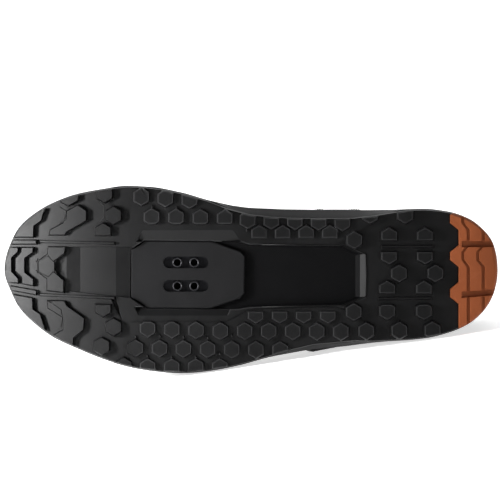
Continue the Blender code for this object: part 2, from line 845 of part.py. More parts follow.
def ribs():
    """Points of the upper's outer face: one rib for each outline point, from its foot at the
    midsole's rim to the ridge. A rib is a quarter of a rounded square, swollen above its foot."""
    foot = lift(plan(rim_thickness + gap), lambda x: seat(x) + gap)
    ridge_place = 0.075 + 0.80 * loop_places
    ridge_x = along(ridge_place)
    middle = (spline(outline, 2, ridge_place, turn) - spline(outline, 1, ridge_place, turn)) / 2
    shift = spline(last, 2, ridge_place) * ball_width
    ridge_y = middle * local_width(ridge_place) - shift
    ridge_z = seat(ridge_x) + spline(last, 1, ridge_place) * instep_height
    square = spline(last, 3, loop_places)
    for tip in (slice(0, across + 1), slice(across + stations, 2 * across + stations + 1)):
        ridge_x[tip] = ridge_x[tip].mean()
        ridge_y[tip] = ridge_y[tip].mean()
        ridge_z[tip] = ridge_z[tip].mean()
    rows = []
    clear = (rim_height + 0.0005) / (ridge_z - foot[:, 2])
    start = np.arcsin(clear ** (square / 2))
    for v in range(rib_steps + 1):
        t = start + (v - 1) / (rib_steps - 1) * (pi / 2 - start) if v else 0 * start
        up = np.sin(t) ** (2 / square)
        near = np.cos(t) ** (2 / square) if v < rib_steps else 0 * square
        risen = np.clip((up - clear) / (1 - clear), 0, 1)
        bump = 6.75 * risen * (1 - risen) ** 2 * swell
        x = ridge_x + (foot[:, 0] - ridge_x) * near + outward[:, 0] * bump
        y = ridge_y + (foot[:, 1] - ridge_y) * near + outward[:, 1] * bump
        z = foot[:, 2] + (ridge_z - foot[:, 2]) * up
        rows.append(np.stack([x, y, z], -1))
    return np.array(rows)


def ridge_owner():
    """For each rib, the rib that owns its ridge point: both sides of a row share one."""
    owner = np.arange(count)
    owner[: across + 1] = 0
    owner[across + stations : 2 * across + stations + 1] = across + stations
    for j in range(1, stations):
        owner[count - j] = across + j
    return owner


def dome_faces(owner):
    faces = []
    for v in range(rib_steps):
        for i in range(count):
            k = (i + 1) % count
            a, b = v * count + i, v * count + k
            if v < rib_steps - 1:
                faces.append((b, a, a + count))
                faces.append((b, a + count, b + count))
            else:
                top = rib_steps * count
                c, d = top + owner[i], top + owner[k]
                faces.append((b, a, c))
                if c != d:
                    faces.append((b, c, d))
    return faces


def face_normals(points, faces):
    total = np.zeros_like(points)
    for face in faces:
        corners = points[list(face)]
        normal = np.zeros(3)
        for i in range(len(face)):
            normal += np.cross(corners[i], corners[(i + 1) % len(face)])
        for i in face:
            total[i] += normal
    length = np.linalg.norm(total, axis=1)
    return total / np.where(length > 0, length, 1)[:, None]


rib_points = ribs().reshape(-1, 3)
owners = ridge_owner()
shell_faces = dome_faces(owners)
rib_normals = face_normals(rib_points, shell_faces)
rib_normals[:count, 2] = 0
rib_normals[:count] /= np.linalg.norm(rib_normals[:count], axis=1)[:, None]


def offset_shell(distance):
    return rib_points + rib_normals * distance


def shell(name, outside, inside, place_from=-1.0, place_to=2.0):
    """Wall along the upper's face between two distances from it, for a stretch of the shoe."""
    inside_points = offset_shell(inside)
    total = len(inside_points)
    places = np.tile(loop_places, rib_steps + 1)
    used = (places > place_from) & (places < place_to)
    faces = [face for face in shell_faces if all(used[i] for i in face)]
    sides = {(face[k - 1], face[k]) for face in faces for k in range(len(face))}
    walls = [(q, p, total + p, total + q) for p, q in sorted(sides) if (q, p) not in sides]
    faces += [tuple(total + i for i in reversed(face)) for face in faces] + walls
    points = np.vstack([offset_shell(outside), inside_points])
    return loose_free(new_object(name, points, faces, smooth=True))


def loose_free(item):
    body = bmesh.new()
    body.from_mesh(item.data)
    loose = [v for v in body.verts if not v.link_faces]
    bmesh.ops.delete(body, geom=loose, context="VERTS")
    bmesh.ops.recalc_face_normals(body, faces=body.faces)
    body.to_mesh(item.data)
    body.free()
    return item


def strip_plan(table):
    """Plan polygon either side of the ridge from a table of places and half widths."""
    one = [(s, -w) for s, w in table]
    other = [(s, w) for s, w in table]
    return in_metres(one + other[::-1])


def above_topline():
    line = [(float(along(s)), float(seat(along(min(s, 1.0)))) + h * collar_height) for s, h in topline]
    return line + [(line[-1][0], past), (line[0][0], past)]


def make_upper():
    body = shell("upper", 0.0, -wall)
    cut(body, side_prism("over_collar", above_topline(), -past, past))
    middle = float(seat(along(0.5))) + 0.45 * instep_height
    cut(body, prism("throat", strip_plan(throat), flat(middle), flat(past)))
    return body


def ridge_line(places):
    """Side view of the ridge: x and z of the upper's top line at places along the shoe."""
    x = along(places)
    return x, seat(x) + spline(last, 1, places) * instep_height


def make_tongue():
    outside = -wall - gap
    body = shell("tongue", outside, outside - tongue_thickness, 0.25, 0.90)
    middle = float(seat(along(0.5))) + 0.30 * instep_height
    keep(body, prism("region", strip_plan(tongue_plan), flat(middle), flat(past)))
    x, z = ridge_line(np.array([tongue_plan[0][0] - 0.02, 0.45, 0.52, 0.58, 0.62]))
    line = list(zip(x, z - tongue_depth * instep_height))
    x, z = ridge_line(np.array([tongue_top - 0.01, tongue_top + 0.01]))
    run = np.array([x[1] - x[0], z[1] - z[0]]) / np.hypot(x[1] - x[0], z[1] - z[0])
    tip = np.array([x.mean(), z.mean()])
    down = np.array([run[1], -run[0]])
    line += [tuple(tip + down * tongue_depth * instep_height), tuple(tip - down * 0.02)]
    line += [(line[0][0], line[-1][1])]
    keep(body, side_prism("profile", line, -past, past))
    return body


def make_strap():
    body = shell("instep_strap", gap + strap_thickness, gap, 0.45, 0.92)
    seat_level = float(seat(along(strap_place)))
    angle = np.arctan(strap_lean)
    up = np.array([-np.sin(angle), np.cos(angle)])
    side = np.array([np.cos(angle), np.sin(angle)]) * strap_width / 2
    foot = np.array([float(along(strap_place)), seat_level + strap_end])
    profile = [foot - side, foot + side, foot + side + up * past, foot - side + up * past]
    rim = rim_height + 3 * gap
    inner_foot = foot - up * (strap_end - rim + side[1]) / up[1]
    inner = [inner_foot - side, inner_foot + side, foot + side + up * past, foot - side + up * past]
    region = side_prism("region", [tuple(c) for c in profile], -gap, past)
    join(region, side_prism("inner", [tuple(c) for c in inner], -past, 0.0))
    keep(body, region)
    low = float(seat(along(strap_place + 0.07))) + rim
    box = [(-past, low), (past, low), (past, past), (-past, past)]
    keep(body, side_prism("floor", box, -past, past))
    return body


def make_insole():
    inset = rim_thickness + gap + wall + gap + 0.0003

    def under(x):
        return seat(x) + gap

    def top(x):
        return seat(x) + gap + insole_thickness

    return slab("insole", [(inset + 0.0005, under), (inset, lambda x: under(x) + 0.001), (inset + 0.0006, top)])


def paint(item, colour, rough, metal):
    material = bpy.data.materials.new(item.name)
    material.use_nodes = True
    shader = material.node_tree.nodes["Principled BSDF"]
    shader.inputs["Base Color"].default_value = (*colour, 1.0)
    shader.inputs["Roughness"].default_value = rough
    shader.inputs["Metallic"].default_value = metal
    item.data.materials.clear()
    item.data.materials.append(material)


def tidy(item):
    body = bmesh.new()
    body.from_mesh(item.data)
    bmesh.ops.remove_doubles(body, verts=body.verts, dist=2e-6)
    bmesh.ops.dissolve_degenerate(body, edges=body.edges, dist=1e-6)
    body.to_mesh(item.data)
    body.free()


def rest_turn(items):
    """Turn that lays the shoe on its outer side, on the face of its hull under its centre."""
    hull = bmesh.new()
    for item in items:
        for vertex in item.data.vertices:
            hull.verts.new(vertex.co)
    result = bmesh.ops.convex_hull(hull, input=hull.verts)
    extra = [g for g in result["geom_interior"] if isinstance(g, bmesh.types.BMVert)]
    bmesh.ops.delete(hull, geom=extra, context="VERTS")
    bmesh.ops.recalc_face_normals(hull, faces=hull.faces)
    centre = Vector((0.012, 0.0, 0.030))
    tree = BVHTree.FromBMesh(hull)
    _, normal, _, _ = tree.ray_cast(centre, Vector((0, 1, 0)))
    hull.free()
    if normal.y < 0:
        normal = -normal
    lay = Matrix.Rotation(-pi / 2, 4, "X")
    down = lay.to_3x3() @ normal
    settle = down.rotation_difference(Vector((0, 0, -1))).to_matrix().to_4x4()
    return settle @ lay


def place(items):
    turned = rest_turn(items)
    for item in items:
        item.data.transform(turned)
    low = np.min([[v.co[k] for k in range(3)] for item in items for v in item.data.vertices], axis=0)
    high = np.max([[v.co[k] for k in range(3)] for item in items for v in item.data.vertices], axis=0)
    middle = (low + high) / 2
    shift = Matrix.Translation((-middle[0], -middle[1], -low[2]))
    for item in items:
        item.data.transform(shift)
        item.data.update()


for old in list(bpy.data.objects):
    bpy.data.objects.remove(old)

pieces = [
    make_outsole(),
    make_heel_tread(),
    make_cleat_plate(),
    make_cleat_nuts(),
    make_midsole(),
    make_upper(),
    make_tongue(),
    make_strap(),
    make_insole(),
]
for piece in pieces:
    tidy(piece)
    paint(piece, *colours[piece.name])
place(pieces)
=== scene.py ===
from math import pi

import bmesh
import bpy
import numpy as np
from mathutils import Matrix, Vector


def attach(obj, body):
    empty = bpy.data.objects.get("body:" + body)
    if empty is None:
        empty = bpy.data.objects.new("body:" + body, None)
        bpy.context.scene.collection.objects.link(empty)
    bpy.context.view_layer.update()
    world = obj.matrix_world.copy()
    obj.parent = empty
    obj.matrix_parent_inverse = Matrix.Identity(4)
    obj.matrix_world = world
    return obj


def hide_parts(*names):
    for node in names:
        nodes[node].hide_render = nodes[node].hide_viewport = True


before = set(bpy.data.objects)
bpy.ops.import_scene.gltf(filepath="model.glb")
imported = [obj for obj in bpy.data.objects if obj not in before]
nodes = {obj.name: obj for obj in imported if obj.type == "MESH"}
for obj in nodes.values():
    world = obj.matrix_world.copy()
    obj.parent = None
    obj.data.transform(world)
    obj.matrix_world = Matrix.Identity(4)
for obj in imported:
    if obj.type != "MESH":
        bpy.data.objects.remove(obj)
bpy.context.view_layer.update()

# The shoe is thought of standing: toe at -X, outer side at +Y, up +Z. This turn and shift lay it
# on its outer side, as the frame has it.
lay = {
    "turn": (
        (0.989214, -0.14641, -0.004373),
        (-0.004373, -0.059358, 0.998227),
        (-0.14641, -0.987442, -0.059358),
    ),
    "shift": (-0.000675, -0.059176, 0.052802),
}
layTurn = np.array(lay["turn"])
layShift = np.array(lay["shift"])

shoe = {
    "length": 0.295,
    "ballWidth": 0.112,
    "heelWidth": 0.078,
    "instepHeight": 0.076,
    "collarHeight": 0.068,
    "toeSpring": 0.013,
    "heelBevel": 0.0025,
    "archRise": 0.002,
    "lugHeight": 0.004,
    "baseThickness": 0.0035,
    "ballStack": 0.0065,
    "heelStack": 0.0135,
    "rimHeight": 0.0045,
    "rimThickness": 0.0028,
    "wall": 0.002,
    "gap": 0.0003,
    # where things start along the shoe, and over what share of its length they go on
    "toe": (0.27, 0.27),
    "heel": (0.93, 0.07),
    "arch": (0.45, 0.27),
    "narrowing": (0.36, 0.44),
    "thickening": (0.36, 0.42),
    "thinning": (0.25, 0.25),
    "toeCurve": 1.9,
    "toeThinner": 0.0015,
}

# Sole outline: place along the shoe, inner and outer edge as shares of the local width.
outlineRows = (
    (0.000, 0.037, -0.037), (0.010, 0.162, 0.058), (0.030, 0.263, 0.162), (0.060, 0.334, 0.244),
    (0.100, 0.395, 0.321), (0.150, 0.442, 0.382), (0.200, 0.467, 0.435), (0.250, 0.484, 0.477),
    (0.300, 0.478, 0.501), (0.360, 0.449, 0.513), (0.420, 0.411, 0.508), (0.480, 0.394, 0.497),
    (0.550, 0.411, 0.480), (0.620, 0.443, 0.482), (0.700, 0.484, 0.500), (0.780, 0.511, 0.493),
    (0.850, 0.520, 0.472), (0.900, 0.500, 0.428), (0.940, 0.449, 0.362), (0.970, 0.365, 0.266),
    (0.990, 0.263, 0.145), (1.000, 0.053, -0.053),
)

# How far the tread is drawn in at the waist and how far the upper swells: inner, outer side.
waistRows = (
    (0.00, 0.003, 0.003, 0.005, 0.005), (0.20, 0.003, 0.003, 0.010, 0.008),
    (0.42, 0.003, 0.003, 0.012, 0.014), (0.47, 0.026, 0.003, 0.014, 0.022),
    (0.55, 0.042, 0.006, 0.016, 0.036), (0.62, 0.044, 0.024, 0.016, 0.042),
    (0.70, 0.042, 0.024, 0.014, 0.030), (0.76, 0.024, 0.006, 0.012, 0.016),
    (0.82, 0.003, 0.003, 0.012, 0.012), (1.00, 0.003, 0.003, 0.018, 0.018),
)

# The last: place, height of the ridge, its shift to the inner side, squareness of the section.
lastRows = (
    (0.00, 0.30, 0.06, 2.30), (0.08, 0.34, 0.07, 2.30), (0.14, 0.41, 0.07, 2.30), (0.22, 0.46, 0.06, 2.25),
    (0.30, 0.52, 0.05, 2.15), (0.38, 0.62, 0.04, 2.05), (0.45, 0.74, 0.03, 1.95), (0.52, 0.88, 0.02, 1.85),
    (0.58, 1.00, 0.01, 1.80), (0.64, 1.20, 0.00, 1.90), (0.70, 1.50, 0.00, 2.05), (0.76, 1.74, 0.00, 2.20),
    (0.84, 1.82, 0.00, 2.30), (1.00, 1.82, 0.00, 2.30),
)
# Where the ridge of the upper runs, as places: its first point and how far it goes on.
ridgeRun = {"from": 0.075, "reach": 0.80, "ends": 0.00125}

# Height of the collar line, and half widths of the throat and the tongue, all by place.
toplineRows = (
    (0.575, 1.60), (0.605, 1.36), (0.630, 1.16), (0.670, 0.98), (0.730, 0.86), (0.800, 0.83),
    (0.870, 0.86), (0.930, 0.95), (1.000, 1.04), (1.060, 1.06),
)
throatRows = (
    (0.419, 0.000), (0.421, 0.036), (0.425, 0.060), (0.435, 0.100), (0.460, 0.130), (0.640, 0.190),
    (0.760, 0.21),
)
tongueRows = ((0.365, 0.150), (0.380, 0.190), (0.460, 0.235), (0.640, 0.260), (0.760, 0.260))
cuts = {"collarFrom": 0.57, "throatFrom": 0.419, "throatTo": 0.76, "throatLow": 0.45}


def laid(points):
    # standing points turned, then shifted, into the frame
    return np.asarray(points, float) @ layTurn.T + layShift


def laidWay(ways):
    return np.asarray(ways, float) @ layTurn.T


def stood(points):
    # the way back: points of the frame as points of the standing shoe
    return (np.asarray(points, float) - layShift) @ layTurn


def smooth(share):
    # 3 t squared less 2 t cubed, held between 0 and 1
    t = np.clip(share, 0, 1)
    return t * t * (3 - 2 * t)


def spline(rows, column, places, warp=None):
    # monotone cubic through a table's column: slopes are weighted harmonic means of the steps
    xs = np.array([row[0] for row in rows], float)
    ys = np.array([row[column] for row in rows], float)
    places = np.asarray(places, float)
    if warp is not None:
        xs, places = warp(xs), warp(places)
    steps = np.diff(xs)
    slopes = np.diff(ys) / steps
    rates = np.zeros(len(xs))
    rates[0], rates[-1] = slopes[0], slopes[-1]
    same = slopes[:-1] * slopes[1:] > 0
    before, after = slopes[:-1][same], slopes[1:][same]
    weight, other = (2 * steps[1:] + steps[:-1])[same], (steps[1:] + 2 * steps[:-1])[same]
    rates[1:-1][same] = (weight + other) / (weight / before + other / after)
    places = np.clip(places, xs[0], xs[-1])
    k = np.clip(np.searchsorted(xs, places, side="right") - 1, 0, len(xs) - 2)
    t = (places - xs[k]) / steps[k]
    low = ys[k] * (1 + 2 * t) * (1 - t) ** 2 + steps[k] * rates[k] * t * (1 - t) ** 2
    high = ys[k + 1] * t * t * (3 - 2 * t) + steps[k] * rates[k + 1] * t * t * (t - 1)
    return low + high


def turnOf(places):
    # share of a half turn whose cosine gives the place
    return np.arccos(np.clip(1 - 2 * places, -1, 1)) / pi


def along(places):
    return (np.asarray(places, float) - 0.5) * shoe["length"]


def placeOf(x):
    return np.asarray(x, float) / shoe["length"] + 0.5


def shareOf(places, what):
    # how far places are into a stretch of the shoe, as a share of it
    start, reach = shoe[what]
    return (np.asarray(places, float) - start) / reach


def localWidth(places):
    # from the ball's width to the heel's by a smooth step
    share = smooth(shareOf(places, "narrowing"))
    return shoe["ballWidth"] + (shoe["heelWidth"] - shoe["ballWidth"]) * share


def edge(angle):
    # outline point: place is (1 - cos angle) / 2, side from the table, outer side for sin > 0
    places = (1 - np.cos(angle)) / 2
    outer = spline(outlineRows, 2, places, turnOf) * localWidth(places)
    inner = -spline(outlineRows, 1, places, turnOf) * localWidth(places)
    return np.stack([along(places), np.where(np.sin(angle) >= 0, outer, inner)], -1)


def outwardAt(angle):
    tangent = edge(angle + 1e-4) - edge(angle - 1e-4)
    tangent /= np.linalg.norm(tangent, axis=-1, keepdims=True)
    return np.stack([-tangent[..., 1], tangent[..., 0]], -1)


def sided(rows, column, angle):
    places = (1 - np.cos(angle)) / 2
    inner, outer = spline(rows, column, places), spline(rows, column + 1, places)
    return (inner + (outer - inner) * (0.5 + 0.5 * np.clip(np.sin(angle) / 0.35, -1, 1))) * shoe["ballWidth"]


def ground(x):
    # height of the lug tips: toe spring, low arch and heel bevel
    s = placeOf(x)
    toe = np.clip(-shareOf(s, "toe"), 0, None) ** shoe["toeCurve"] * shoe["toeSpring"]
    return toe + heelRise(s) + archAt(s)


def heelRise(s):
    return np.clip(shareOf(s, "heel"), 0, None) ** 2 * shoe["heelBevel"]


def archAt(s):
    # one hump: the square of a sine over its stretch
    return np.clip(np.sin(pi * np.clip(shareOf(s, "arch"), 0, 1)), 0, 1) ** 2 * shoe["archRise"]


def baseAt(x):
    return ground(x) + shoe["lugHeight"]


def midsoleFoot(x):
    return baseAt(x) + shoe["baseThickness"] + shoe["gap"]


def seatAt(x):
    # height of the insole's seat: level at arch and heel, where the tread isn't
    s = placeOf(x)
    share = smooth(shareOf(s, "thickening"))
    stack = shoe["ballStack"] + (shoe["heelStack"] - shoe["ballStack"]) * share
    stack = stack - np.clip(-shareOf(s, "thinning"), 0, 1) * shoe["toeThinner"]
    return midsoleFoot(x) - heelRise(s) - archAt(s) + stack


# Creases of the flexing vamp and of the quarters: place, side, reach along, reach across, depth.
creases = (
    (0.290, 0.02, 0.0050, 0.030, 0.0009), (0.318, -0.05, 0.0042, 0.036, -0.0006),
    (0.342, 0.04, 0.0050, 0.034, 0.0011), (0.372, -0.03, 0.0046, 0.036, -0.0006),
    (0.398, 0.03, 0.0046, 0.034, 0.0008), (0.560, 0.36, 0.0090, 0.010, 0.0008),
    (0.700, 0.34, 0.0110, 0.012, 0.0009), (0.560, -0.36, 0.0090, 0.010, 0.0007),
    (0.690, -0.34, 0.0110, 0.012, 0.0008),
)


def creaseDepth(points):
    # sum of soft troughs (depth > 0) and ridges: a bell along the shoe, bent back at the sides
    x, y = points[..., 0], points[..., 1]
    total = 0 * x
    for place, side, reach, wide, depth in creases:
        dy = (y - side * shoe["ballWidth"]) / wide
        dx = (x - along(place) - 0.006 * dy * dy) / reach
        total = total + depth * np.exp(-dx * dx) * np.exp(-dy * dy)
    return total


def domePoints(angle, t):
    # rib of the upper: quarter of a rounded square from the foot at the rim to the ridge, with
    # sine and cosine raised to 2 / squareness, swollen outwards above its foot by r (1 - r) (1 - r)
    # times 27 / 4, which is 1 at its most
    places = (1 - np.cos(angle)) / 2
    inset = shoe["rimThickness"] + shoe["gap"]
    out = outwardAt(angle)
    foot = edge(angle) - out * inset
    footZ = seatAt(foot[..., 0]) + shoe["gap"]
    tip = np.abs(np.sin(angle / 2)) < 0.05
    heel = np.abs(np.cos(angle / 2)) < 0.05
    held = np.where(tip, ridgeRun["ends"], np.where(heel, 1 - ridgeRun["ends"], places))
    ridgePlace = ridgeRun["from"] + ridgeRun["reach"] * held
    ridgeX = along(ridgePlace)
    middle = (spline(outlineRows, 2, ridgePlace, turnOf) - spline(outlineRows, 1, ridgePlace, turnOf)) / 2
    ridgeY = middle * localWidth(ridgePlace) - spline(lastRows, 2, ridgePlace) * shoe["ballWidth"]
    ridgeZ = seatAt(ridgeX) + spline(lastRows, 1, ridgePlace) * shoe["instepHeight"]
    square = spline(lastRows, 3, places)
    clear = (shoe["rimHeight"] + 0.0005) / (ridgeZ - footZ)
    start = np.arcsin(clear ** (square / 2))
    turn = start + (pi / 2 - start) * np.clip(t, 0, 1)
    turn = np.where(t < 0, start * (1 + t), turn)
    up = np.sin(turn) ** (2 / square)
    near = np.clip(np.cos(turn), 0, 1) ** (2 / square)
    risen = np.clip((up - clear) / (1 - clear), 0, 1)
    bump = 6.75 * risen * (1 - risen) ** 2 * sided(waistRows, 3, angle)
    x = ridgeX + (foot[..., 0] - ridgeX) * near + out[..., 0] * bump
    y = ridgeY + (foot[..., 1] - ridgeY) * near + out[..., 1] * bump
    return np.stack([x, y, footZ + (ridgeZ - footZ) * up], -1)


def gridNormals(points):
    # cross product of the two grid directions, columns taken in turn round the shoe
    down = np.gradient(points, axis=0)
    round_ = np.gradient(points, axis=1)
    normal = np.cross(round_, down)
    size = np.linalg.norm(normal, axis=-1, keepdims=True)
    return normal / np.where(size > 1e-12, size, 1)


def domeNormals(angle, t):
    # cross product of small steps round the shoe and up the rib
    step = 2e-3
    t = np.clip(t, -0.99, 0.9994)
    ahead = domePoints(angle + step, t) - domePoints(angle - step, t)
    rise = domePoints(angle, np.minimum(t + step, 0.9995)) - domePoints(angle, t - step)
    normal = np.cross(rise, ahead)
    size = np.linalg.norm(normal, axis=-1, keepdims=True)
    normal = normal / np.where(size > 1e-12, size, 1)
    return normal * np.where(normal[..., 2:] < -0.8, -1, 1)


def cutShare(angle, samples=700):
    # share of each rib below the collar line and beside the throat
    t = np.linspace(0, 1, samples)[:, None]
    points = domePoints(angle[None, :], t)
    x, y, z = points[..., 0], points[..., 1], points[..., 2]
    s = placeOf(x)
    over = z > seatAt(along(np.minimum(s, 1))) + spline(toplineRows, 1, s) * shoe["collarHeight"]
    over &= s > cuts["collarFrom"]
    half = np.interp(s, [r[0] for r in throatRows], [r[1] for r in throatRows]) * shoe["ballWidth"]
    low = seatAt(along(0.5)) + cuts["throatLow"] * shoe["instepHeight"]
    over |= (np.abs(y) < half) & (z > low) & (s > cuts["throatFrom"]) & (s < cuts["throatTo"])
    first = np.argmax(over, axis=0)
    return np.where(over.any(axis=0), t[first, 0], 1.0)


class Wire:
    # a socket that can be added, multiplied and so on as if it were a number

    def __init__(self, tree, socket):
        self.tree = tree
        self.socket = socket

    def maths(self, how, *others):
        return self.tree.put("ShaderNodeMath", {"operation": how}, dict(enumerate((self,) + others)))

    def __add__(self, other):
        return self.maths("ADD", other)

    def __mul__(self, other):
        return self.maths("MULTIPLY", other)

    __radd__ = __add__
    __rmul__ = __mul__

    def sine(self):
        return self.maths("SINE")

    def between(self, low, high):
        kind = {"interpolation_type": "SMOOTHSTEP"}
        return self.tree.put("ShaderNodeMapRange", kind, {0: self, 1: low, 2: high})


class Finish:
    # a material's node tree with short ways to add nodes and to mix colours

    def __init__(self, name, **settings):
        self.material = bpy.data.materials.new(name)
        self.material.use_nodes = True
        self.tree = self.material.node_tree
        self.shader = self.tree.nodes["Principled BSDF"]
        for key, value in settings.items():
            self.shader.inputs[key].default_value = value

    def put(self, kind, settings=None, inputs=None, output=0):
        node = self.tree.nodes.new(kind)
        for key, value in (settings or {}).items():
            setattr(node, key, value)
        for key, value in (inputs or {}).items():
            if isinstance(value, Wire):
                self.tree.links.new(value.socket, node.inputs[key])
            else:
                node.inputs[key].default_value = value
        return Wire(self, node.outputs[output])

    def object(self):
        return self.put("ShaderNodeTexCoord", output=3)

    def uv(self):
        return self.put("ShaderNodeUVMap", {"uv_map": "cloth"})

    def axes(self, vector):
        node = self.tree.nodes.new("ShaderNodeSeparateXYZ")
        self.tree.links.new(vector.socket, node.inputs[0])
        return [Wire(self, node.outputs[k]) for k in range(3)]

    def noise(self, vector, scale, detail=3.0, rough=0.55):
        inputs = {"Vector": vector, "Scale": scale, "Detail": detail, "Roughness": rough}
        return self.put("ShaderNodeTexNoise", None, inputs)

    def cells(self, vector, scale):
        return self.put("ShaderNodeTexVoronoi", {"feature": "F1"}, {"Vector": vector, "Scale": scale})

    def blend(self, share, one, other):
        node = self.tree.nodes.new("ShaderNodeMix")
        node.data_type = "RGBA"
        for key, value in ((0, share), (6, one), (7, other)):
            if isinstance(value, Wire):
                self.tree.links.new(value.socket, node.inputs[key])
            else:
                node.inputs[key].default_value = value if key == 0 else (*value[:3], 1.0)
        return Wire(self, node.outputs[2])

    def feed(self, name, wire):
        self.tree.links.new(wire.socket, self.shader.inputs[name])

    def relief(self, height, distance):
        inputs = {"Height": height, "Distance": distance, "Strength": 1.0}
        self.feed("Normal", self.put("ShaderNodeBump", None, inputs))


rubbers = {
    # name: dark, light, dust colour, roughness, grain scale, shine
    "outsole": (
        (0.0010, 0.0010, 0.0011), (0.0024, 0.0024, 0.0026), (0.006, 0.006, 0.006), 0.42, 2300.0, 0.17,
    ),
    # painted highlight: lighter, shinier rubber for the outsole's chamfered lug rims, standing for the light
    # they catch
    "rim_highlight": (
        (0.0050, 0.0050, 0.0054), (0.0110, 0.0110, 0.0116), (0.020, 0.020, 0.021), 0.46, 2300.0, 0.30,
    ),
    "heel_tread": (
        (0.185, 0.047, 0.015), (0.255, 0.070, 0.024), (0.30, 0.095, 0.040), 0.52, 2400.0, 0.12,
    ),
    "midsole": (
        (0.0035, 0.0035, 0.0038), (0.0070, 0.0070, 0.0075), (0.014, 0.014, 0.014), 0.50, 1500.0, 0.20,
    ),
}
cloths = {
    # name: dark, light, pitch of the threads, relief, roughness, stray fibre
    "upper_cloth": ((0.010, 0.010, 0.011), (0.022, 0.022, 0.024), 0.0009, 0.00016, 0.66, 0.25),
    "lining_mesh": ((0.012, 0.012, 0.013), (0.030, 0.030, 0.032), 0.0014, 0.00030, 0.78, 0.4),
    "tongue_mesh": ((0.011, 0.011, 0.012), (0.026, 0.026, 0.028), 0.0015, 0.00034, 0.74, 0.4),
    "strap_webbing": ((0.010, 0.010, 0.011), (0.022, 0.022, 0.023), 0.0012, 0.00022, 0.60, 0.2),
    "insole_cloth": ((0.050, 0.050, 0.053), (0.085, 0.085, 0.090), 0.0010, 0.00020, 0.85, 0.5),
}
plate = {"dark": (0.0040, 0.0040, 0.0043), "light": (0.0068, 0.0068, 0.0073), "linePitch": 0.0007}
window = {"dark": (0.0012, 0.0012, 0.0014), "light": (0.0026, 0.0026, 0.0029), "weavePitch": 0.0011}
hide = {"dark": (0.0085, 0.0085, 0.0092), "light": (0.0150, 0.0150, 0.0160), "rough": 0.46}
thread = {"dark": (0.018, 0.018, 0.019), "light": (0.034, 0.034, 0.036), "twistPitch": 0.0005}


def rubberFinish(node):
    # moulded rubber: fine pitted skin, faint mottling, dust, slightly worn
    dark, light, dustColour, rough, grain, shine = rubbers[node]
    m = Finish(node + "_rubber", **{"Specular IOR Level": shine})
    at = m.object()
    mottle = m.noise(at, 38.0, 4.0)
    fine = m.noise(at, grain, 2.0, 0.6)
    dust = m.noise(at, 210.0, 5.0, 0.7).between(0.52, 0.78)
    m.feed("Base Color", m.blend(dust * 0.30, m.blend(mottle, dark, light), dustColour))
    m.feed("Roughness", rough + 0.16 * mottle + 0.10 * dust)
    m.relief(fine * 0.6 + m.noise(at, 620.0, 3.0) * 0.4, 0.00010)
    return m.material


def plateFinish():
    # moulded plastic with fine lines across the plate
    m = Finish("plate_plastic", **{"Specular IOR Level": 0.12})
    at = m.object()
    lines = (m.axes(at)[2] * (2 * pi / plate["linePitch"])).sine() * 0.5 + 0.5
    cloud = m.noise(at, 60.0, 3.0)
    m.feed("Base Color", m.blend(cloud, plate["dark"], plate["light"]))
    m.feed("Roughness", 0.44 + 0.12 * cloud)
    m.relief(lines * 0.6 + m.noise(at, 2600.0, 2.0) * 0.4, 0.00005)
    return m.material


def windowFinish():
    # floor of the midfoot window: a fine square weave moulded into the foam
    m = Finish("window_weave", **{"Specular IOR Level": 0.05})
    at = m.object()
    x, _, z = m.axes(at)
    threads = 2 * pi / window["weavePitch"]
    weave = (x * threads).sine() * (z * threads).sine()
    cloud = m.noise(at, 90.0, 3.0)
    m.feed("Base Color", m.blend(cloud, window["dark"], window["light"]))
    m.feed("Roughness", 0.50 + 0.12 * cloud)
    m.relief(weave * 0.5 + 0.5 + m.noise(at, 1500.0, 2.0) * 0.3, 0.00012)
    return m.material


def steelFinish(name, dark, light):
    m = Finish(name, Metallic=1.0)
    at = m.object()
    scratch = m.noise(at, 900.0, 4.0, 0.7)
    m.feed("Base Color", m.blend(scratch, dark, light))
    m.feed("Roughness", 0.32 + 0.22 * scratch)
    m.relief(scratch, 0.00003)
    return m.material


def clothFinish(name):
    # woven cloth on its own map, in metres: over and under threads, with a little stray fibre
    dark, light, pitch, depth, rough, fuzz = cloths[name]
    m = Finish(name, **{"Sheen Weight": fuzz, "Sheen Roughness": 0.5, "Specular IOR Level": 0.25})
    u, v, _ = m.axes(m.uv())
    at = m.object()
    weave = (u * (2 * pi / pitch)).sine() * (v * (2 * pi / pitch)).sine()
    thread = weave * 0.5 + 0.5
    cloud = m.noise(at, 55.0, 4.0)
    fibre = m.noise(at, 1700.0, 3.0, 0.7)
    m.feed("Base Color", m.blend(thread * 0.6 + 0.4 * cloud, dark, light))
    m.feed("Roughness", rough + 0.14 * fibre)
    m.relief(thread * 0.75 + fibre * 0.25, depth)
    return m.material


def hideFinish():
    # coated synthetic: fine pebbled grain with shallow wrinkles
    dark, light = hide["dark"], hide["light"]
    m = Finish("panel_hide", **{"Specular IOR Level": 0.32})
    at = m.object()
    pebble = m.cells(at, 1500.0)
    wrinkle = m.noise(at, 260.0, 4.0, 0.6)
    scuff = m.noise(at, 70.0, 6.0, 0.75).between(0.56, 0.74)
    m.feed("Base Color", m.blend(scuff * 0.35, m.blend(wrinkle, dark, light), [c * 2.0 for c in light]))
    m.feed("Roughness", hide["rough"] + 0.14 * wrinkle + 0.10 * scuff)
    m.relief(pebble * 0.6 + wrinkle * 0.4, 0.00012)
    return m.material


def threadFinish():
    # twisted thread: stripes slanted along each stitch
    m = Finish("sewing_thread", **{"Sheen Weight": 0.2})
    at = m.object()
    x, y, z = m.axes(at)
    twist = ((x + y + z) * (2 * pi / thread["twistPitch"])).sine() * 0.5 + 0.5
    m.feed("Base Color", m.blend(twist, thread["dark"], thread["light"]))
    m.feed("Roughness", 0.55 + 0.2 * twist)
    m.relief(twist, 0.0001)
    return m.material


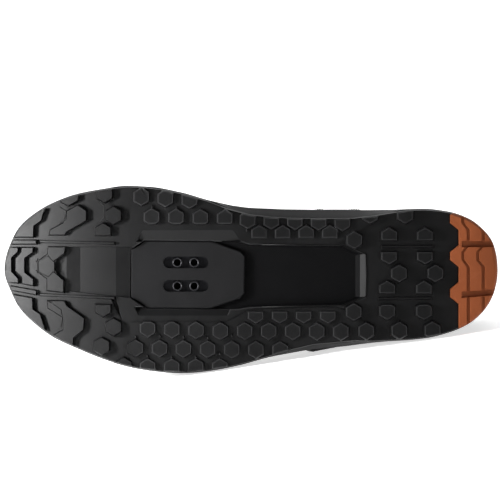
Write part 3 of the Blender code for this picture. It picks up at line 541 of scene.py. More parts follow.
finishes = {
    "outsole": rubberFinish("outsole"),
    # painted highlight rubber for the chamfered lug rims
    "rim_highlight": rubberFinish("rim_highlight"),
    "heel_tread": rubberFinish("heel_tread"),
    "cleat_plate": plateFinish(),
    "cleat_nuts": steelFinish("nut_steel", (0.006, 0.006, 0.007), (0.022, 0.022, 0.024)),
    "nut_rim": steelFinish("worn_steel", (0.018, 0.018, 0.020), (0.050, 0.050, 0.053)),
    "midsole": rubberFinish("midsole"),
    "window": windowFinish(),
    "upper": clothFinish("upper_cloth"),
    "panel": hideFinish(),
    "lining": clothFinish("lining_mesh"),
    "tongue": clothFinish("tongue_mesh"),
    "instep_strap": clothFinish("strap_webbing"),
    "insole": clothFinish("insole_cloth"),
    "thread": threadFinish(),
}


def linked(name, data):
    piece = bpy.data.objects.new(name, data)
    bpy.context.scene.collection.objects.link(piece)
    return piece


def newPiece(name, points, faces, material, map_=None, pressed=True):
    # points are standing points; they are laid into the frame here, and pressed flat where they
    # would go under the floor
    mesh = bpy.data.meshes.new(name)
    places = laid(np.asarray(points, float).reshape(-1, 3))
    if pressed:
        places[:, 2] = np.maximum(places[:, 2], 0.0001)
    mesh.from_pydata(places.tolist(), [], np.asarray(faces, int).tolist())
    mesh.polygons.foreach_set("use_smooth", np.full(len(mesh.polygons), True))
    mesh.materials.append(material)
    if map_ is not None:
        corners = np.zeros(len(mesh.loops), int)
        mesh.loops.foreach_get("vertex_index", corners)
        layer = mesh.uv_layers.new(name="cloth")
        layer.data.foreach_set("uv", np.asarray(map_, float).reshape(-1, 2)[corners].ravel())
    return linked(name, mesh)


def healed(piece, distance=2e-6):
    # merges doubled points, drops empty faces and turns the faces outwards
    body = bmesh.new()
    body.from_mesh(piece.data)
    bmesh.ops.remove_doubles(body, verts=body.verts, dist=distance)
    bmesh.ops.dissolve_degenerate(body, edges=body.edges, dist=1e-7)
    bmesh.ops.recalc_face_normals(body, faces=body.faces)
    body.to_mesh(piece.data)
    body.free()
    return piece


def standFor(piece, slot, *replaced):
    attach(piece, "root")
    if replaced:
        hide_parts(*replaced)
    return piece


def gridFaces(rows, columns, loop=False, first=0):
    # four-cornered faces of a grid of points; loop joins its last column to the first
    i, j = np.meshgrid(np.arange(rows - 1), np.arange(columns if loop else columns - 1), indexing="ij")
    k = (j + 1) % columns
    low, high = i * columns, (i + 1) * columns
    return np.stack([low + j, low + k, high + k, high + j], -1).reshape(-1, 4) + first


def slabOf(name, top, bottom, material, map_=None):
    # closed body between two grids of points, with walls along their four borders
    rows, columns = top.shape[:2]
    count = rows * columns
    start, i = np.arange(columns - 1), np.arange(rows - 1) * columns
    last, e = (rows - 1) * columns + start, i + columns - 1
    faces = [
        gridFaces(rows, columns),
        gridFaces(rows, columns, False, count)[:, ::-1],
        np.stack([start, count + start, count + start + 1, start + 1], -1),
        np.stack([last + 1, last + count + 1, last + count, last], -1),
        np.stack([i, i + columns, count + i + columns, count + i], -1),
        np.stack([e + columns, e, count + e, count + e + columns], -1),
    ]
    both = None if map_ is None else np.concatenate([map_.reshape(-1, 2)] * 2)
    points = np.concatenate([top.reshape(-1, 3), bottom.reshape(-1, 3)])
    return healed(newPiece(name, points, np.concatenate(faces), material, both))


# Merging of the solids' triangles, in metres and radians, before their edges are rounded.
merging = {"distance": 2e-6, "angle": 0.004}


def mergedBody(node):
    body = bmesh.new()
    body.from_mesh(nodes[node].data)
    bmesh.ops.remove_doubles(body, verts=body.verts, dist=merging["distance"])
    bmesh.ops.dissolve_limit(body, angle_limit=merging["angle"], verts=body.verts, edges=body.edges)
    return body


def softened(node, name, width, segments=2, material=None):
    # merged copy of a solid with its edges rounded
    body = mergedBody(node)
    mesh = bpy.data.meshes.new(name)
    body.to_mesh(mesh)
    body.free()
    mesh.materials.clear()
    mesh.materials.append(finishes[material or node])
    piece = linked(name, mesh)
    mesh.polygons.foreach_set("use_smooth", np.full(len(mesh.polygons), True))
    bevel = piece.modifiers.new("rounded", "BEVEL")
    bevel.width = width
    bevel.segments = segments
    bevel.limit_method = "ANGLE"
    bevel.angle_limit = 28.0 * pi / 180
    bevel.use_clamp_overlap = True
    bevel.miter_outer = "MITER_ARC"
    level = piece.modifiers.new("level", "WEIGHTED_NORMAL")
    level.mode = "FACE_AREA_WITH_ANGLE"
    level.weight = 80
    return standFor(piece, node, node)


# Faces that count as lying along the tread: how far they face down, how even their depth is.
treadShade = {"down": -0.8, "even": 0.0004, "step": 0.001}


def treadNormals(mesh):
    # faces that lie along the curved tread shade by its slope, all others by their own face
    faces, corners = len(mesh.polygons), len(mesh.loops)
    places, faceWays = np.zeros(len(mesh.vertices) * 3), np.zeros(faces * 3)
    index, counts = np.zeros(corners, int), np.zeros(faces, int)
    mesh.vertices.foreach_get("co", places)
    mesh.polygons.foreach_get("normal", faceWays)
    mesh.polygons.foreach_get("loop_total", counts)
    mesh.loops.foreach_get("vertex_index", index)
    standing = stood(places.reshape(-1, 3))
    x, step = standing[index, 0], treadShade["step"]
    slope = (ground(x + step) - ground(x - step)) / (2 * step)
    curved = np.stack([slope, 0 * x, 0 * x - 1], -1)
    curved /= np.linalg.norm(curved, axis=1, keepdims=True)
    owner = np.repeat(np.arange(faces), counts)
    own = (faceWays.reshape(-1, 3) @ layTurn)[owner]
    depth = standing[index, 2] - ground(x)
    first = np.concatenate([[0], np.cumsum(counts)[:-1]])
    spread = (np.maximum.reduceat(depth, first) - np.minimum.reduceat(depth, first))[owner]
    flat = (own[:, 2] < treadShade["down"]) & (spread < treadShade["even"])
    mesh.normals_split_custom_set(laidWay(np.where(flat[:, None], curved, own)).tolist())


# Edges that are chamfered: one face turned down by "down" or more, the other by "wall" or less,
# an outer corner of "sharp" radians. On the outsole the outer border at its base is left as it
# is, and so is the web that joins the middle lugs and stands "webRise" out of the base. From
# the last place in this table to the heel the outsole's chamfers have a lighter rubber, a
# painted highlight for the light caught on the lug rims.
chamfer = {
    "down": 0.85, "wall": 0.45, "sharp": 0.5, "shortest": 0.0004, "segments": 2,
    "borderSide": 0.028, "borderToe": -0.118, "borderHeel": 0.085, "nearBase": 0.0006,
    "webRise": 0.0016, "nearWeb": 0.0005, "highlightFrom": -0.070,
}


def keptSharp(item):
    # whether an edge of the outsole is on its outer border or on the front of the web
    x, y, z = stood([list(v.co) for v in item.verts]).mean(axis=0)
    rise = baseAt(x) - z
    onBorder = abs(y) > chamfer["borderSide"] or not chamfer["borderToe"] < x < chamfer["borderHeel"]
    atBase = onBorder and abs(rise) < chamfer["nearBase"]
    return atBase or abs(rise - chamfer["webRise"]) < chamfer["nearWeb"]


def chamfered(node, name, width):
    # merged copy of a tread solid: the outer edges of its lugs and openings are cut back by width
    body = mergedBody(node)
    # only the outsole's chamfers get the lighter rim rubber, a painted highlight
    rimLit = node == "outsole"
    down = Vector(laidWay([[0, 0, -1]])[0])
    rims = []
    for item in body.edges:
        if len(item.link_faces) != 2 or item.calc_length() < chamfer["shortest"]:
            continue
        least, most = sorted(face.normal.dot(down) for face in item.link_faces)
        if most > chamfer["down"] and least < chamfer["wall"]:
            if item.calc_face_angle_signed(0) > chamfer["sharp"] and not (rimLit and keptSharp(item)):
                rims.append(item)
    bmesh.ops.bevel(
        body, geom=rims, offset=width, offset_type="OFFSET", segments=chamfer["segments"], profile=0.5,
        affect="EDGES", clamp_overlap=False, miter_outer="ARC", material=1 if rimLit else -1,
    )
    # painted highlight: faces toward the toe go back to plain rubber, and the chamfers from there to the
    # heel keep the lighter rim rubber
    for item in body.faces:
        if stood(item.calc_center_median())[0] < chamfer["highlightFrom"]:
            item.material_index = 0
    mesh = bpy.data.meshes.new(name)
    mesh.materials.append(finishes[node])
    if rimLit:
        mesh.materials.append(finishes["rim_highlight"])
    body.to_mesh(mesh)
    body.free()
    mesh.polygons.foreach_set("use_smooth", np.full(len(mesh.polygons), True))
    treadNormals(mesh)
    return standFor(linked(name, mesh), node, node)


def farAlong(points):
    # distance gone from the first row of points to each row: sum of the steps
    steps = np.linalg.norm(np.diff(points, axis=0), axis=-1)
    return np.concatenate([np.zeros((1,) + steps.shape[1:]), np.cumsum(steps, axis=0)])


def pathFrame(path, normals, loop=False):
    # unit tangents of a path and its normals squared up to them
    round_ = np.roll(path, -1, axis=0) - np.roll(path, 1, axis=0)
    ahead = round_ if loop else np.gradient(path, axis=0)
    ahead /= np.linalg.norm(ahead, axis=1, keepdims=True) + 1e-12
    normals = normals - ahead * np.sum(normals * ahead, axis=1, keepdims=True)
    normals /= np.linalg.norm(normals, axis=1, keepdims=True) + 1e-12
    return ahead, normals, np.cross(ahead, normals)


def resampled(path, *others, pitch):
    # points at even distances along a path, with what goes with them
    far = farAlong(path)
    count = max(2, int(round(far[-1] / pitch)) + 1)
    want = np.linspace(0, far[-1], count)
    return [np.stack([np.interp(want, far, one[:, k]) for k in range(3)], -1) for one in (path,) + others]


stitchShape = {"pitch": 0.0032, "length": 0.0024, "radius": 0.00034, "rings": 5, "sides": 6}


def stitchRows(lines):
    # small spindles set along each line at even pitch, half sunk: the radius goes as the sine of
    # the place along the stitch, raised to 0.6
    ring = np.linspace(0, pi, stitchShape["rings"])
    side = np.arange(stitchShape["sides"]) * 2 * pi / stitchShape["sides"]
    wide = np.sin(ring)[:, None] ** 0.6
    template = np.stack([
        -np.cos(ring)[:, None] * stitchShape["length"] / 2 + 0 * side,
        wide * np.cos(side) * stitchShape["radius"],
        wide * np.sin(side) * stitchShape["radius"],
    ], -1).reshape(-1, 3)
    faces = gridFaces(stitchShape["rings"], stitchShape["sides"], True)
    allPoints, allFaces, first = [], [], 0
    for path, normals in lines:
        path, normals = resampled(path, normals, pitch=stitchShape["pitch"])
        ahead, up, across = pathFrame(path, normals)
        basis = np.stack([ahead, across, up], 1)
        points = path[:, None, :] + np.einsum("tk,nkc->ntc", template, basis)
        count, size = points.shape[:2]
        allPoints.append(points.reshape(-1, 3))
        shifts = (np.arange(count) * size)[:, None, None]
        allFaces.append((faces[None] + shifts).reshape(-1, 4) + first)
        first += count * size
    return np.concatenate(allPoints), np.concatenate(allFaces)


print("sole pieces")
chamfered("outsole", "outsole_skin", 0.0006)
chamfered("heel_tread", "heel_insert_skin", 0.0005)
softened("cleat_plate", "cleat_plate_skin", 0.0006)
softened("cleat_nuts", "cleat_nuts_skin", 0.0002)
softened("midsole", "midsole_core", 0.0003, 1, material="window")


picture = {"pixel": 0.0005935, "middle": (250.4, 277.0)}


def atPhoto(corners, above=0.0):
    # points of the tread seen at places in the picture, above the lug tips by a distance
    x, y = ((np.asarray(corners, float) - picture["middle"]) * picture["pixel"]).T
    return np.stack([x, y, ground(x) - above], -1)


def roundBars(name, slot, lines, radius, sides=8, closed=False, material=None):
    # thin round bars along polylines: a ring of a given radius carried along each of them
    turns = np.linspace(0, 2 * pi, sides, endpoint=False)
    allPoints, allFaces, first = [], [], 0
    for line in lines:
        line = np.asarray(line, float)
        _, up, across = pathFrame(line, np.tile([0.0, 0.0, -1.0], (len(line), 1)), closed)
        size = np.full(len(line), radius)
        if not closed:
            line = np.concatenate([line[:1], line, line[-1:]])
            up, across = (np.concatenate([one[:1], one, one[-1:]]) for one in (up, across))
            size = np.concatenate([[0.0], size, [0.0]])
        ring = up[:, None] * np.cos(turns)[None, :, None]
        ring = ring + across[:, None] * np.sin(turns)[None, :, None]
        grid = line[:, None] + ring * size[:, None, None]
        if closed:
            grid = np.concatenate([grid, grid[:1]])
        allPoints.append(grid.reshape(-1, 3))
        allFaces.append(gridFaces(len(grid), sides, True, first))
        first += grid.shape[0] * sides
    points, faces = np.concatenate(allPoints), np.concatenate(allFaces)
    return standFor(healed(newPiece(name, points, faces, material or finishes[slot]), 1e-6), slot)


# Ties between neighbouring lugs: picture places of their middles, and how long they are there.
ties = {
    "radius": 0.0006, "below": 0.0017, "reach": 3.4,
    "middles": (
        (152.5, 207), (177, 208), (160.5, 336.5), (184, 337.5), (208, 338), (232, 336), (148, 356.5),
        (172, 357.5), (196, 357.5), (220, 354), (247, 230), (272, 333), (296, 333), (320, 332),
        (344, 331), (263, 229), (287, 230), (311, 230), (335, 230), (136, 337), (258, 352),
    ),
}
half = ties["reach"] / 2
tieLines = [atPhoto([(px, py - half), (px, py + half)], -ties["below"]) for px, py in ties["middles"]]
roundBars("lug_ties", "outsole", tieLines, ties["radius"])

# Fine raised lines on the toe lugs, as corners in the picture.
fineLines = {
    "radius": 0.00032, "above": 0.00005,
    "open": (
        ((35.5, 262), (37.8, 258.5)), ((37.8, 273.5), (35.5, 270)),
        ((54.5, 262.5), (57, 259)), ((54.5, 270.5), (57, 274)),
        ((60, 207), (66, 211), (66, 219), (59, 224)),
        ((48, 301), (54, 305), (61, 310), (62, 318), (61, 327)),
        ((98, 200), (104, 206), (104, 218), (99, 223)),
    ),
    "hexagon": ((38, 261), (48, 256), (54, 263), (54, 270.5), (48, 277), (38, 272)),
}
lines = [atPhoto(one, fineLines["above"]) for one in fineLines["open"]]
roundBars("toe_fine_lines", "outsole", lines, fineLines["radius"])
ring = atPhoto(fineLines["hexagon"], fineLines["above"])
roundBars("toe_hexagon_line", "outsole", [ring], fineLines["radius"], closed=True)

# Rounded lip of the midfoot window, as corners in the picture.
windowLip = {
    "radius": 0.00050, "above": 0.0001,
    "corners": (
        (262, 244.6), (300, 244.9), (340, 245.3), (344, 243.9), (366.0, 254.4), (366.4, 275),
        (366.0, 296.6), (344, 306.4), (340, 305.4), (300, 306.4), (262, 307.2),
    ),
}
lip = atPhoto(windowLip["corners"], windowLip["above"] - shoe["lugHeight"])
roundBars("window_lip", "outsole", [lip], windowLip["radius"])

# Rims of the threaded collars in the slots, at the nuts' own height.
nutRims = {
    "major": 0.00245, "minor": 0.00048, "along": 0.0050, "across": 0.0070, "proud": 0.0001,
    "centre": (-0.03835, -0.001624),
}
nutMesh = nodes["cleat_nuts"].data
nutPoints = np.zeros(len(nutMesh.vertices) * 3)
nutMesh.vertices.foreach_get("co", nutPoints)
nutLow = stood(nutPoints.reshape(-1, 3))[:, 2].min() + nutRims["proud"]
turns = np.linspace(0, 2 * pi, 32, endpoint=False)
rims = []
for a in (-1, 1):
    for b in (-1, 1):
        x = nutRims["centre"][0] + a * nutRims["along"] + nutRims["major"] * np.cos(turns)
        y = nutRims["centre"][1] + b * nutRims["across"] + nutRims["major"] * np.sin(turns)
        rims.append(np.stack([x, y, np.full(len(turns), nutLow)], -1))
roundBars("nut_rims", "cleat_nuts", rims, nutRims["minor"], 10, True, finishes["nut_rim"])


print("midsole wall")
midsoleWall = {
    "columns": 640, "rows": 30, "proud": 0.00015, "lipFrom": 0.92, "lipRun": 0.08, "lipRadius": 0.0009,
    "partingPlace": 0.62, "partingWidth": 0.02, "partingDepth": 0.0004,
    "tuckShare": ((0, 1.0), (0.30, 0.45), (0.62, 0.0), (1.0, 0.0)),
}


def makeMidsoleWall():
    # ring round the sole: inset falls from the tuck to nothing, turns over the rim and goes down
    # to the seat; a shallow parting line runs round it
    angle = np.linspace(0, 2 * pi, midsoleWall["columns"], endpoint=False)
    tuck = sided(waistRows, 1, angle)
    proud = midsoleWall["proud"]
    lift = np.linspace(0, midsoleWall["lipFrom"], midsoleWall["rows"])
    lift = np.concatenate([lift, [0.955, 0.98, 0.995, 1.0]])
    wallShare = spline(midsoleWall["tuckShare"], 1, lift)
    turnIn = np.clip((lift - midsoleWall["lipFrom"]) / midsoleWall["lipRun"], 0, 1)
    away = (lift - midsoleWall["partingPlace"]) / midsoleWall["partingWidth"]
    parting = midsoleWall["partingDepth"] * np.exp(-(away ** 2))
    turned = midsoleWall["lipRadius"] * (1 - np.sqrt(1 - turnIn * turnIn * 0.999))
    # rows: inset from the outline, height as a share, height added to it
    rows = [(w * tuck - proud + p + r, h, 0.0) for h, w, p, r in zip(lift, wallShare, parting, turned)]
    inner = shoe["rimThickness"] + 0.0001
    over = (
        (0.0013, proud), (0.0022, proud), (inner - 0.0002, 0.0), (inner, -0.0006),
        (inner, -shoe["rimHeight"] - 0.0008),
    )
    rows += [(0 * tuck + inset, 1.0, more) for inset, more in over]
    rows += [(tuck + 0.004, 0.25, 0.0), (tuck + 0.0012, 0.02, 0.0)]
    grid = []
    for inset, h, more in rows:
        flat = edge(angle) - outwardAt(angle) * inset[:, None]
        low, high = midsoleFoot(flat[:, 0]), seatAt(flat[:, 0]) + shoe["rimHeight"]
        grid.append(np.column_stack([flat, low + (high - low) * h + more]))
    grid = np.array(grid + [grid[0]])
    faces = gridFaces(len(grid), len(angle), True)
    piece = healed(newPiece("midsole_wall", grid, faces, finishes["midsole"]))
    return standFor(piece, "midsole", "midsole")


makeMidsoleWall()


print("upper")
upper = {
    "columns": 600, "rows": 52, "panelLift": 0.0009, "sunk": 0.0003, "under": 0.0006, "nearRidge": 0.9999,
}
columnAngle = np.linspace(0, 2 * pi, upper["columns"], endpoint=False) + 1e-5
columnCut = cutShare(columnAngle)


def atFace(angle, t, lift=0.0):
    # point of the upper's outer face, creased above its foot, moved out along its normal by a lift
    angle, t = np.broadcast_arrays(angle, t)
    points = domePoints(angle, t)
    normals = domeNormals(angle, t)
    creased = creaseDepth(points)[..., None] * (t > 0.02)[..., None]
    return points + normals * (np.asarray(lift)[..., None] - creased), normals


def makeUpper():
    # grid of ribs from foot to cut line; the wall is thickened inwards
    share = np.concatenate([[-1.0], np.linspace(0, 1, upper["rows"]) ** 0.9])[:, None]
    t = np.where(share < 0, -1.0, share * columnCut[None, :])
    angle = np.broadcast_to(columnAngle, t.shape)
    points, _ = atFace(angle, np.minimum(t, upper["nearRidge"]))
    ridge = columnCut >= 1
    points[-1, ridge] = domePoints(columnAngle[ridge], np.ones(ridge.sum()))
    reach = farAlong(points)
    map_ = np.stack([np.broadcast_to(farAlong(edge(columnAngle)), reach.shape), reach], -1)
    piece = newPiece("upper_shell", points, gridFaces(*points.shape[:2], True), finishes["upper"], map_)
    healed(piece, 1e-4)
    wall = piece.modifiers.new("wall", "SOLIDIFY")
    wall.thickness = shoe["wall"]
    wall.offset = -1.0
    wall.use_even_offset = False
    return standFor(piece, "upper", "upper")


makeUpper()

# Sewn-on panels that stand on the rim: angle from, angle to, and rows of place in the run and
# upper border, as a share of the rib's height up to the cut line.
panels = {
    "toe_cap": (-1.16, 1.16, (
        (0, 0.20), (0.16, 0.36), (0.35, 0.62), (0.5, 0.70), (0.65, 0.62), (0.84, 0.36), (1, 0.20),
    )),
    "heel_counter": (pi - 1.02, pi + 1.02, (
        (0, 0.22), (0.20, 0.46), (0.42, 0.72), (0.58, 0.72), (0.80, 0.46), (1, 0.22),
    )),
    "quarter_outer": (1.36, 2.02, ((0, 0.30), (0.35, 0.56), (0.7, 0.50), (1, 0.24))),
    "quarter_inner": (-2.02, -1.36, ((0, 0.24), (0.3, 0.50), (0.65, 0.56), (1, 0.30))),
}
panelShape = {"perRadian": 90, "rows": 22, "border": 0.03, "seams": (0.0020, 0.0042), "shortest": 0.006}
stitchLines = []


def makePatch(name, angle, t, turned, run):
    # patch of the face, lifted but for its borders, which are turned down by smooth steps
    fall = turned * smooth(np.minimum(run, 1 - run)[None, :] * (len(run) - 1) / 2)
    angles = np.broadcast_to(angle, t.shape)
    top, _ = atFace(angles, t, -upper["sunk"] + (upper["panelLift"] + upper["sunk"]) * fall)
    bottom, _ = atFace(angles, t, -upper["under"])
    standFor(slabOf(name, top, bottom, finishes["panel"]), "upper")
    return top


def makePanel(name, first, last, border):
    # patch between two angles, from the foot to its upper border, with two rows of stitches
    columns = int((last - first) * panelShape["perRadian"]) + 2
    run = np.linspace(0, 1, columns)
    angle = first + (last - first) * run
    cut = np.interp(angle % (2 * pi), columnAngle, columnCut)
    high = spline(border, 1, run)
    middle = np.linspace(0.06, 0.94, panelShape["rows"])
    v = np.concatenate([[0, 0.012, 0.03], middle, [0.97, 0.988, 1]])[:, None]
    top = makePatch(name + "_panel", angle, high * v * cut, smooth((1 - v) / panelShape["border"]), run)
    tall = np.maximum(farAlong(top)[-1], panelShape["shortest"])
    inside = slice(4, columns - 4)
    for step in panelShape["seams"]:
        share = (high - high * step / tall) * cut
        stitchLines.append(atFace(angle[inside], share[inside], upper["panelLift"] + 0.0001))


for name, (first, last, border) in panels.items():
    makePanel(name, first, last, border)


def cutLine(select):
    # points and normals of the upper's cut edge for chosen columns
    return atFace(columnAngle[select], np.minimum(columnCut[select], upper["nearRidge"]))


collar = {"from": 0.615, "sunk": 0.0012, "lower": 0.0030, "outward": 0.0030, "down": 0.0058, "sides": 20}
eyestay = {"to": 0.625, "wide": 0.16, "taper": 0.06, "rows": 10, "border": 0.09, "seams": (0.13, 0.80)}

# The run of cut columns goes from the throat's front on the outer side, round the heel, and back.
cutRun = np.flatnonzero(columnCut < 1)
cutPlace = placeOf(cutLine(cutRun)[0][:, 0])
collarRun = cutRun[cutPlace > collar["from"]]
besideThroat = cutRun[cutPlace <= eyestay["to"]]


def makeCollarRoll():
    # padded roll: ellipse carried along the collar's cut edge, tapered at both ends
    path, way = cutLine(collarRun)
    path = path - way * collar["sunk"]
    ahead = np.gradient(path, axis=0)
    down = np.cross(way, ahead)
    down /= np.linalg.norm(down, axis=1, keepdims=True)
    down *= np.where(down[:, 2:] > 0, -1, 1)
    path = path + down * collar["lower"]
    turns = np.linspace(0, 2 * pi, collar["sides"], endpoint=False)
    run = np.linspace(0, 1, len(path))
    taper = np.clip(np.minimum(run, 1 - run) / 0.05, 0.02, 1) ** 0.5
    wide, tall = collar["outward"] * taper, collar["down"] * taper
    grid = path[:, None] + way[:, None] * (np.cos(turns)[None, :, None] * wide[:, None, None])
    grid = grid + down[:, None] * (np.sin(turns)[None, :, None] * tall[:, None, None])
    ends = [path[None, k].repeat(len(turns), 0)[None] for k in (0, -1)]
    grid = np.concatenate([ends[0], grid, ends[1]])
    far = np.arange(len(grid))[:, None] * 0.0016 + 0 * turns
    map_ = np.stack([far, np.broadcast_to(turns * 0.0045, far.shape)], -1)
    piece = healed(newPiece("collar_roll", grid, gridFaces(*grid.shape[:2], True), finishes["lining"], map_))
    standFor(piece, "upper")


makeCollarRoll()


def makeEyestay(name, columns):
    # band beside the throat: from the cut edge down the ribs, lifted over the face
    angle = columnAngle[columns]
    cut = np.minimum(columnCut[columns], upper["nearRidge"])
    run = np.linspace(0, 1, len(columns))
    wide = eyestay["wide"] * np.clip(np.minimum(run, 1 - run) / eyestay["taper"] + 0.3, 0, 1)
    v = np.concatenate([[0, 0.04, 0.09], np.linspace(0.15, 0.95, eyestay["rows"]), [1.0]])[:, None]
    makePatch(name, angle, cut * (1 - wide * (1 - v)), smooth(v / eyestay["border"]), run)
    for step in eyestay["seams"]:
        line, way = atFace(angle, cut * (1 - wide * (1 - step)), upper["panelLift"] + 0.0001)
        stitchLines.append((line[3:-3], way[3:-3]))


makeEyestay("eyestay_outer", besideThroat[columnAngle[besideThroat] < pi])
makeEyestay("eyestay_inner", besideThroat[columnAngle[besideThroat] > pi])


print("tongue")
tongue = {
    "from": 0.372, "to": 0.672, "top": -0.0024, "bottom": -0.0054, "rows": 90, "columns": 61, "steps": 260,
    "channelDepth": 0.0007, "channelPitch": 0.010, "channelWidth": 0.09, "channelReach": 0.72, "blend": 0.2,
}


def makeTongue():
    # padded strip under the throat: ribs either side of the ridge down to the half width, with
    # a crown between cross channels; thickness falls to nothing at its border
    row = np.linspace(0, 1, tongue["rows"])
    ridgePlace = tongue["from"] + (tongue["to"] - tongue["from"]) * row
    lastPlace = (ridgePlace - ridgeRun["from"]) / ridgeRun["reach"]
    half = np.interp(ridgePlace, [r[0] for r in tongueRows], [r[1] for r in tongueRows]) * shoe["ballWidth"]
    half = half * np.sqrt(np.clip(1 - ((row - 0.5) / 0.5) ** 12, 0.25, 1))
    side = np.linspace(-1, 1, tongue["columns"])
    angle = np.arccos(1 - 2 * lastPlace)
    steps = np.linspace(1, 0, tongue["steps"])
    shape = (len(steps), len(row))
    points = np.zeros((len(row), len(side), 3))
    normals = np.zeros_like(points)
    for sign in (-1, 1):
        ribs = domePoints(np.broadcast_to(sign * angle, shape), np.broadcast_to(steps[:, None], shape))
        far = farAlong(ribs)
        use = side * sign >= 0
        for i in range(len(row)):
            share = np.interp(np.abs(side[use]) * half[i], far[:, i], steps)
            share = np.clip(share, 0, 0.9995)
            a = np.full(share.shape, sign * angle[i])
            points[i, use] = domePoints(a, share)
            normals[i, use] = domeNormals(a, share)
    middle = np.abs(side) < tongue["blend"]
    blended = normals[:, middle].mean(axis=1, keepdims=True)
    weight = smooth(1 - np.abs(side[middle]) / tongue["blend"])[None, :, None]
    normals[:, middle] = normals[:, middle] * (1 - weight) + blended * weight
    normals /= np.linalg.norm(normals, axis=-1, keepdims=True)
    border = np.minimum(1 - np.abs(side)[None, :] ** 6, 1 - np.abs(2 * row - 1)[:, None] ** 24)
    border = np.sqrt(np.clip(border, 0, 1))
    reach = along(ridgePlace)[:, None]
    away = ((reach / tongue["channelPitch"]) % 1 - 0.5) / tongue["channelWidth"]
    channel = np.exp(-away ** 2) * (np.abs(side)[None, :] < tongue["channelReach"])
    mid = (tongue["top"] + tongue["bottom"]) / 2
    thick = (tongue["top"] - tongue["bottom"]) / 2
    top = points + normals * (mid + border * (thick - tongue["channelDepth"] * channel))[..., None]
    bottom = points + normals * (mid - border * thick)[..., None]
    far = side[None, :] * half[:, None]
    map_ = np.stack([far, np.broadcast_to(reach, far.shape)], -1)
    piece = slabOf("tongue_pad", top, bottom, finishes["tongue"], map_)
    standFor(piece, "tongue", "tongue")


makeTongue()


print("instep strap")
strap = {
    "width": 0.028, "lean": 0.45, "place": 0.666, "end": 0.021, "low": 0.0010, "thickness": 0.0022,
    "rows": 150, "columns": 17, "ribs": (0.9, 2.75, 900), "overRim": 0.0012,
}


def makeStrap():
    # band where slanted side-view planes cut the dome: for each plane the ribs are followed to
    # their crossing, the crossings run from the outer end over the ridge to the inner rim
    slant = np.arctan(strap["lean"])
    foot = np.array([along(strap["place"]), seatAt(along(strap["place"])) + strap["end"]])
    ways = np.linspace(-1, 1, strap["columns"]) * strap["width"] / 2
    t = np.linspace(0, 1, 500)[:, None]
    lines = []
    for across in ways:
        halves = []
        for sign in (1, -1):
            angle = sign * np.linspace(*strap["ribs"])
            points = domePoints(angle[None, :], t)
            x, z = points[..., 0] - foot[0], points[..., 2] - foot[1]
            side = x * np.cos(slant) + z * np.sin(slant) - across
            crossing = (side[:-1] < 0) & (side[1:] >= 0)
            found = crossing.any(axis=0)
            k = np.argmax(crossing, axis=0)[found]
            c = np.arange(len(angle))[found]
            share = side[k, c] / (side[k, c] - side[k + 1, c])
            halves.append(points[k, c] + (points[k + 1, c] - points[k, c]) * share[:, None])
        outer, inner = halves[0][::-1], halves[1]
        x, z = outer[:, 0] - foot[0], outer[:, 2] - foot[1]
        outer = outer[z * np.cos(slant) - x * np.sin(slant) > 0]
        inner = inner[inner[:, 2] > seatAt(inner[:, 0]) + shoe["rimHeight"] + strap["overRim"]]
        line = np.concatenate([outer, inner])
        line, = resampled(line, pitch=0.0002)
        lines.append(line[np.linspace(0, len(line) - 1, strap["rows"]).astype(int)])
    grid = np.array(lines).transpose(1, 0, 2)
    for _ in range(6):
        grid[1:-1] = grid[1:-1] * 0.5 + (grid[:-2] + grid[2:]) * 0.25
    normals = gridNormals(grid)
    centre = strap["columns"] // 2
    middle = normals[len(normals) // 2, centre]
    normals = normals * (1 if middle[2] > 0 else -1)
    for _ in range(8):
        normals[1:-1] = normals[1:-1] * 0.5 + (normals[:-2] + normals[2:]) * 0.25
    normals /= np.linalg.norm(normals, axis=-1, keepdims=True)
    side = np.linspace(-1, 1, len(ways))
    round_ = np.sqrt(np.clip(1 - np.abs(side) ** 14, 0, 1))[None, :, None]
    mid = strap["low"] + strap["thickness"] / 2
    half = strap["thickness"] / 2
    far = farAlong(grid[:, centre])
    map_ = np.stack(np.broadcast_arrays(far[:, None], side[None, :] * strap["width"] / 2), -1)
    top, bottom = grid + normals * (mid + half * round_), grid + normals * (mid - half * round_)
    piece = slabOf("strap_band", top, bottom, finishes["instep_strap"], map_)
    standFor(piece, "instep_strap", "instep_strap")
    top = grid + normals * (mid + half + 0.00005)
    for column in (2, 14):
        stitchLines.append((top[4:-3, column], normals[4:-3, column]))
    for row in (5, 22):
        stitchLines.append((top[row, 2:15], normals[row, 2:15]))


makeStrap()


print("insole")
insole = {"inset": 0.0056, "thickness": 0.0035, "dish": 0.0022, "rows": 120, "columns": 31}


def makeInsole():
    # foot bed: rows across the shoe between the inset outlines, its sides curling up a little
    angle = np.linspace(0.0, pi, insole["rows"])
    one = edge(angle) - outwardAt(angle) * insole["inset"]
    other = edge(-angle) - outwardAt(-angle) * insole["inset"]
    other[0], other[-1] = one[0], one[-1]
    w = np.linspace(0, 1, insole["columns"])[None, :, None]
    flat = other[:, None] * (1 - w) + one[:, None] * w
    low = seatAt(flat[..., 0]) + shoe["gap"]
    curl = insole["dish"] * np.abs(2 * w[..., 0] - 1) ** 5 * smooth(np.sin(angle) / 0.5)[:, None]
    top = np.concatenate([flat, (low + insole["thickness"] + curl)[..., None]], -1)
    bottom = np.concatenate([flat, low[..., None]], -1)
    piece = slabOf("insole_pad", top, bottom, finishes["insole"], flat)
    standFor(piece, "insole", "insole")


makeInsole()

print("stitches")
points, faces = stitchRows(stitchLines)
standFor(healed(newPiece("stitching", points, faces, finishes["thread"]), 1e-7), "upper")


print("camera and light")
shot = {"distance": 1.7, "across": 0.2968, "sensor": 36.0, "centre": (-0.0002, -0.0160, 0.004)}


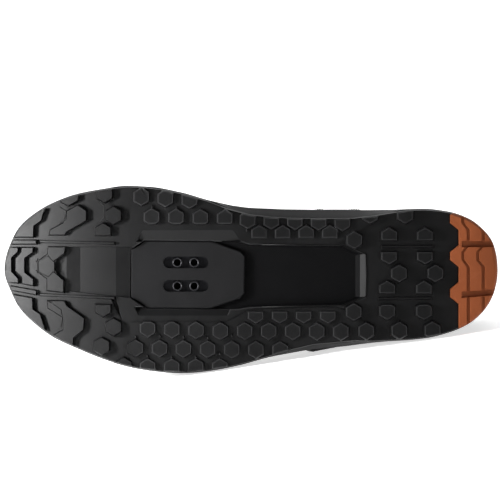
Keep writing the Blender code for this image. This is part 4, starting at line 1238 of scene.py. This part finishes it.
def photoCamera():
    # looks straight at the tread, with the toe on the left and the inner side on top
    data = bpy.data.cameras.new("camera")
    data.sensor_width = shot["sensor"]
    data.lens = shot["sensor"] * shot["distance"] / shot["across"]
    data.clip_end = 50.0
    camera = linked("camera", data)
    centre = laid([shot["centre"]])[0]
    right, up, back = laidWay([[1, 0, 0], [0, -1, 0], [0, 0, -1]])
    turn = Matrix([[right[k], up[k], back[k]] for k in range(3)]).to_4x4()
    camera.matrix_world = Matrix.Translation(Vector(centre + back * shot["distance"])) @ turn
    bpy.context.scene.camera = camera


photoCamera()

lights = {
    # name: place and aim in the standing shoe's axes, size, power
    "key": ((-0.43, -0.05, -0.26), (-0.08, 0.0, 0.0), (0.06, 0.10), 2.3),
    "toe": ((-0.29, -0.02, -0.135), (-0.09, 0.0, 0.0), (0.04, 0.06), 1.8),
    "fill": ((0.1, -0.9, -1.1), (0.0, 0.0, 0.0), (0.9, 0.9), 0.5),
}
roomLights = {
    # name: place and aim in the frame's axes, size, power
    "backdrop": ((0.0, 0.7, 2.6), (0.0, 1.4, 0.3), (3.0, 1.5), 24),
    "top": ((0.2, -0.1, 1.8), (0.0, 0.1, 0.05), (1.6, 1.0), 7),
}
sweep = {
    "half": 4.0, "front": -6.0, "back": 2.2, "top": 3.0, "bend": 0.8, "glow": 0.64, "rough": 0.9,
    "dark": (0.93, 0.93, 0.93), "light": (0.96, 0.96, 0.96), "sky": (0.95, 0.97, 1.0, 1.0), "skyLight": 0.06,
}


def areaLamp(name, place, aim, size, power):
    data = bpy.data.lights.new(name, "AREA")
    data.shape = "RECTANGLE"
    data.size, data.size_y = size
    data.energy = power
    lamp = linked(name, data)
    lamp.visible_camera = False
    way = Vector(aim) - Vector(place)
    lamp.matrix_world = Matrix.Translation(place) @ way.to_track_quat("-Z", "Y").to_matrix().to_4x4()


def studio():
    # pale sweep: a floor that bends up into a back wall on a quarter circle
    pale = Finish("studio_floor", Roughness=sweep["rough"])
    at = pale.object()
    pale.feed("Base Color", pale.blend(pale.noise(at, 3.0), sweep["dark"], sweep["light"]))
    pale.shader.inputs["Emission Color"].default_value = (1.0, 1.0, 1.0, 1.0)
    pale.shader.inputs["Emission Strength"].default_value = sweep["glow"]
    wide, deep, high, bend = (sweep[key] for key in ("half", "back", "top", "bend"))
    turns = np.linspace(0, pi / 2, 13)[1:]
    profile = [(sweep["front"], 0.0), (deep - bend, 0.0)]
    profile += [(deep - bend + bend * np.sin(a), bend - bend * np.cos(a)) for a in turns]
    profile = np.array(profile + [(deep, high)])
    points = np.array([(x, y, z) for x in (-wide, wide) for y, z in profile])
    n = len(profile)
    faces = [(i, n + i, n + i + 1, i + 1) for i in range(n - 1)]
    floor = newPiece("studio_sweep", stood(points), faces, pale.material, pressed=False)
    world = bpy.data.worlds.new("studio")
    bpy.context.scene.world = world
    world.use_nodes = True
    background = world.node_tree.nodes["Background"]
    background.inputs[0].default_value = sweep["sky"]
    background.inputs[1].default_value = sweep["skyLight"]
    for name, (place, aim, size, power) in lights.items():
        areaLamp(name, laid([place])[0], laid([aim])[0], size, power)
    for name, (place, aim, size, power) in roomLights.items():
        areaLamp(name, place, aim, size, power)


studio()
bpy.context.scene.view_settings.view_transform = "Standard"
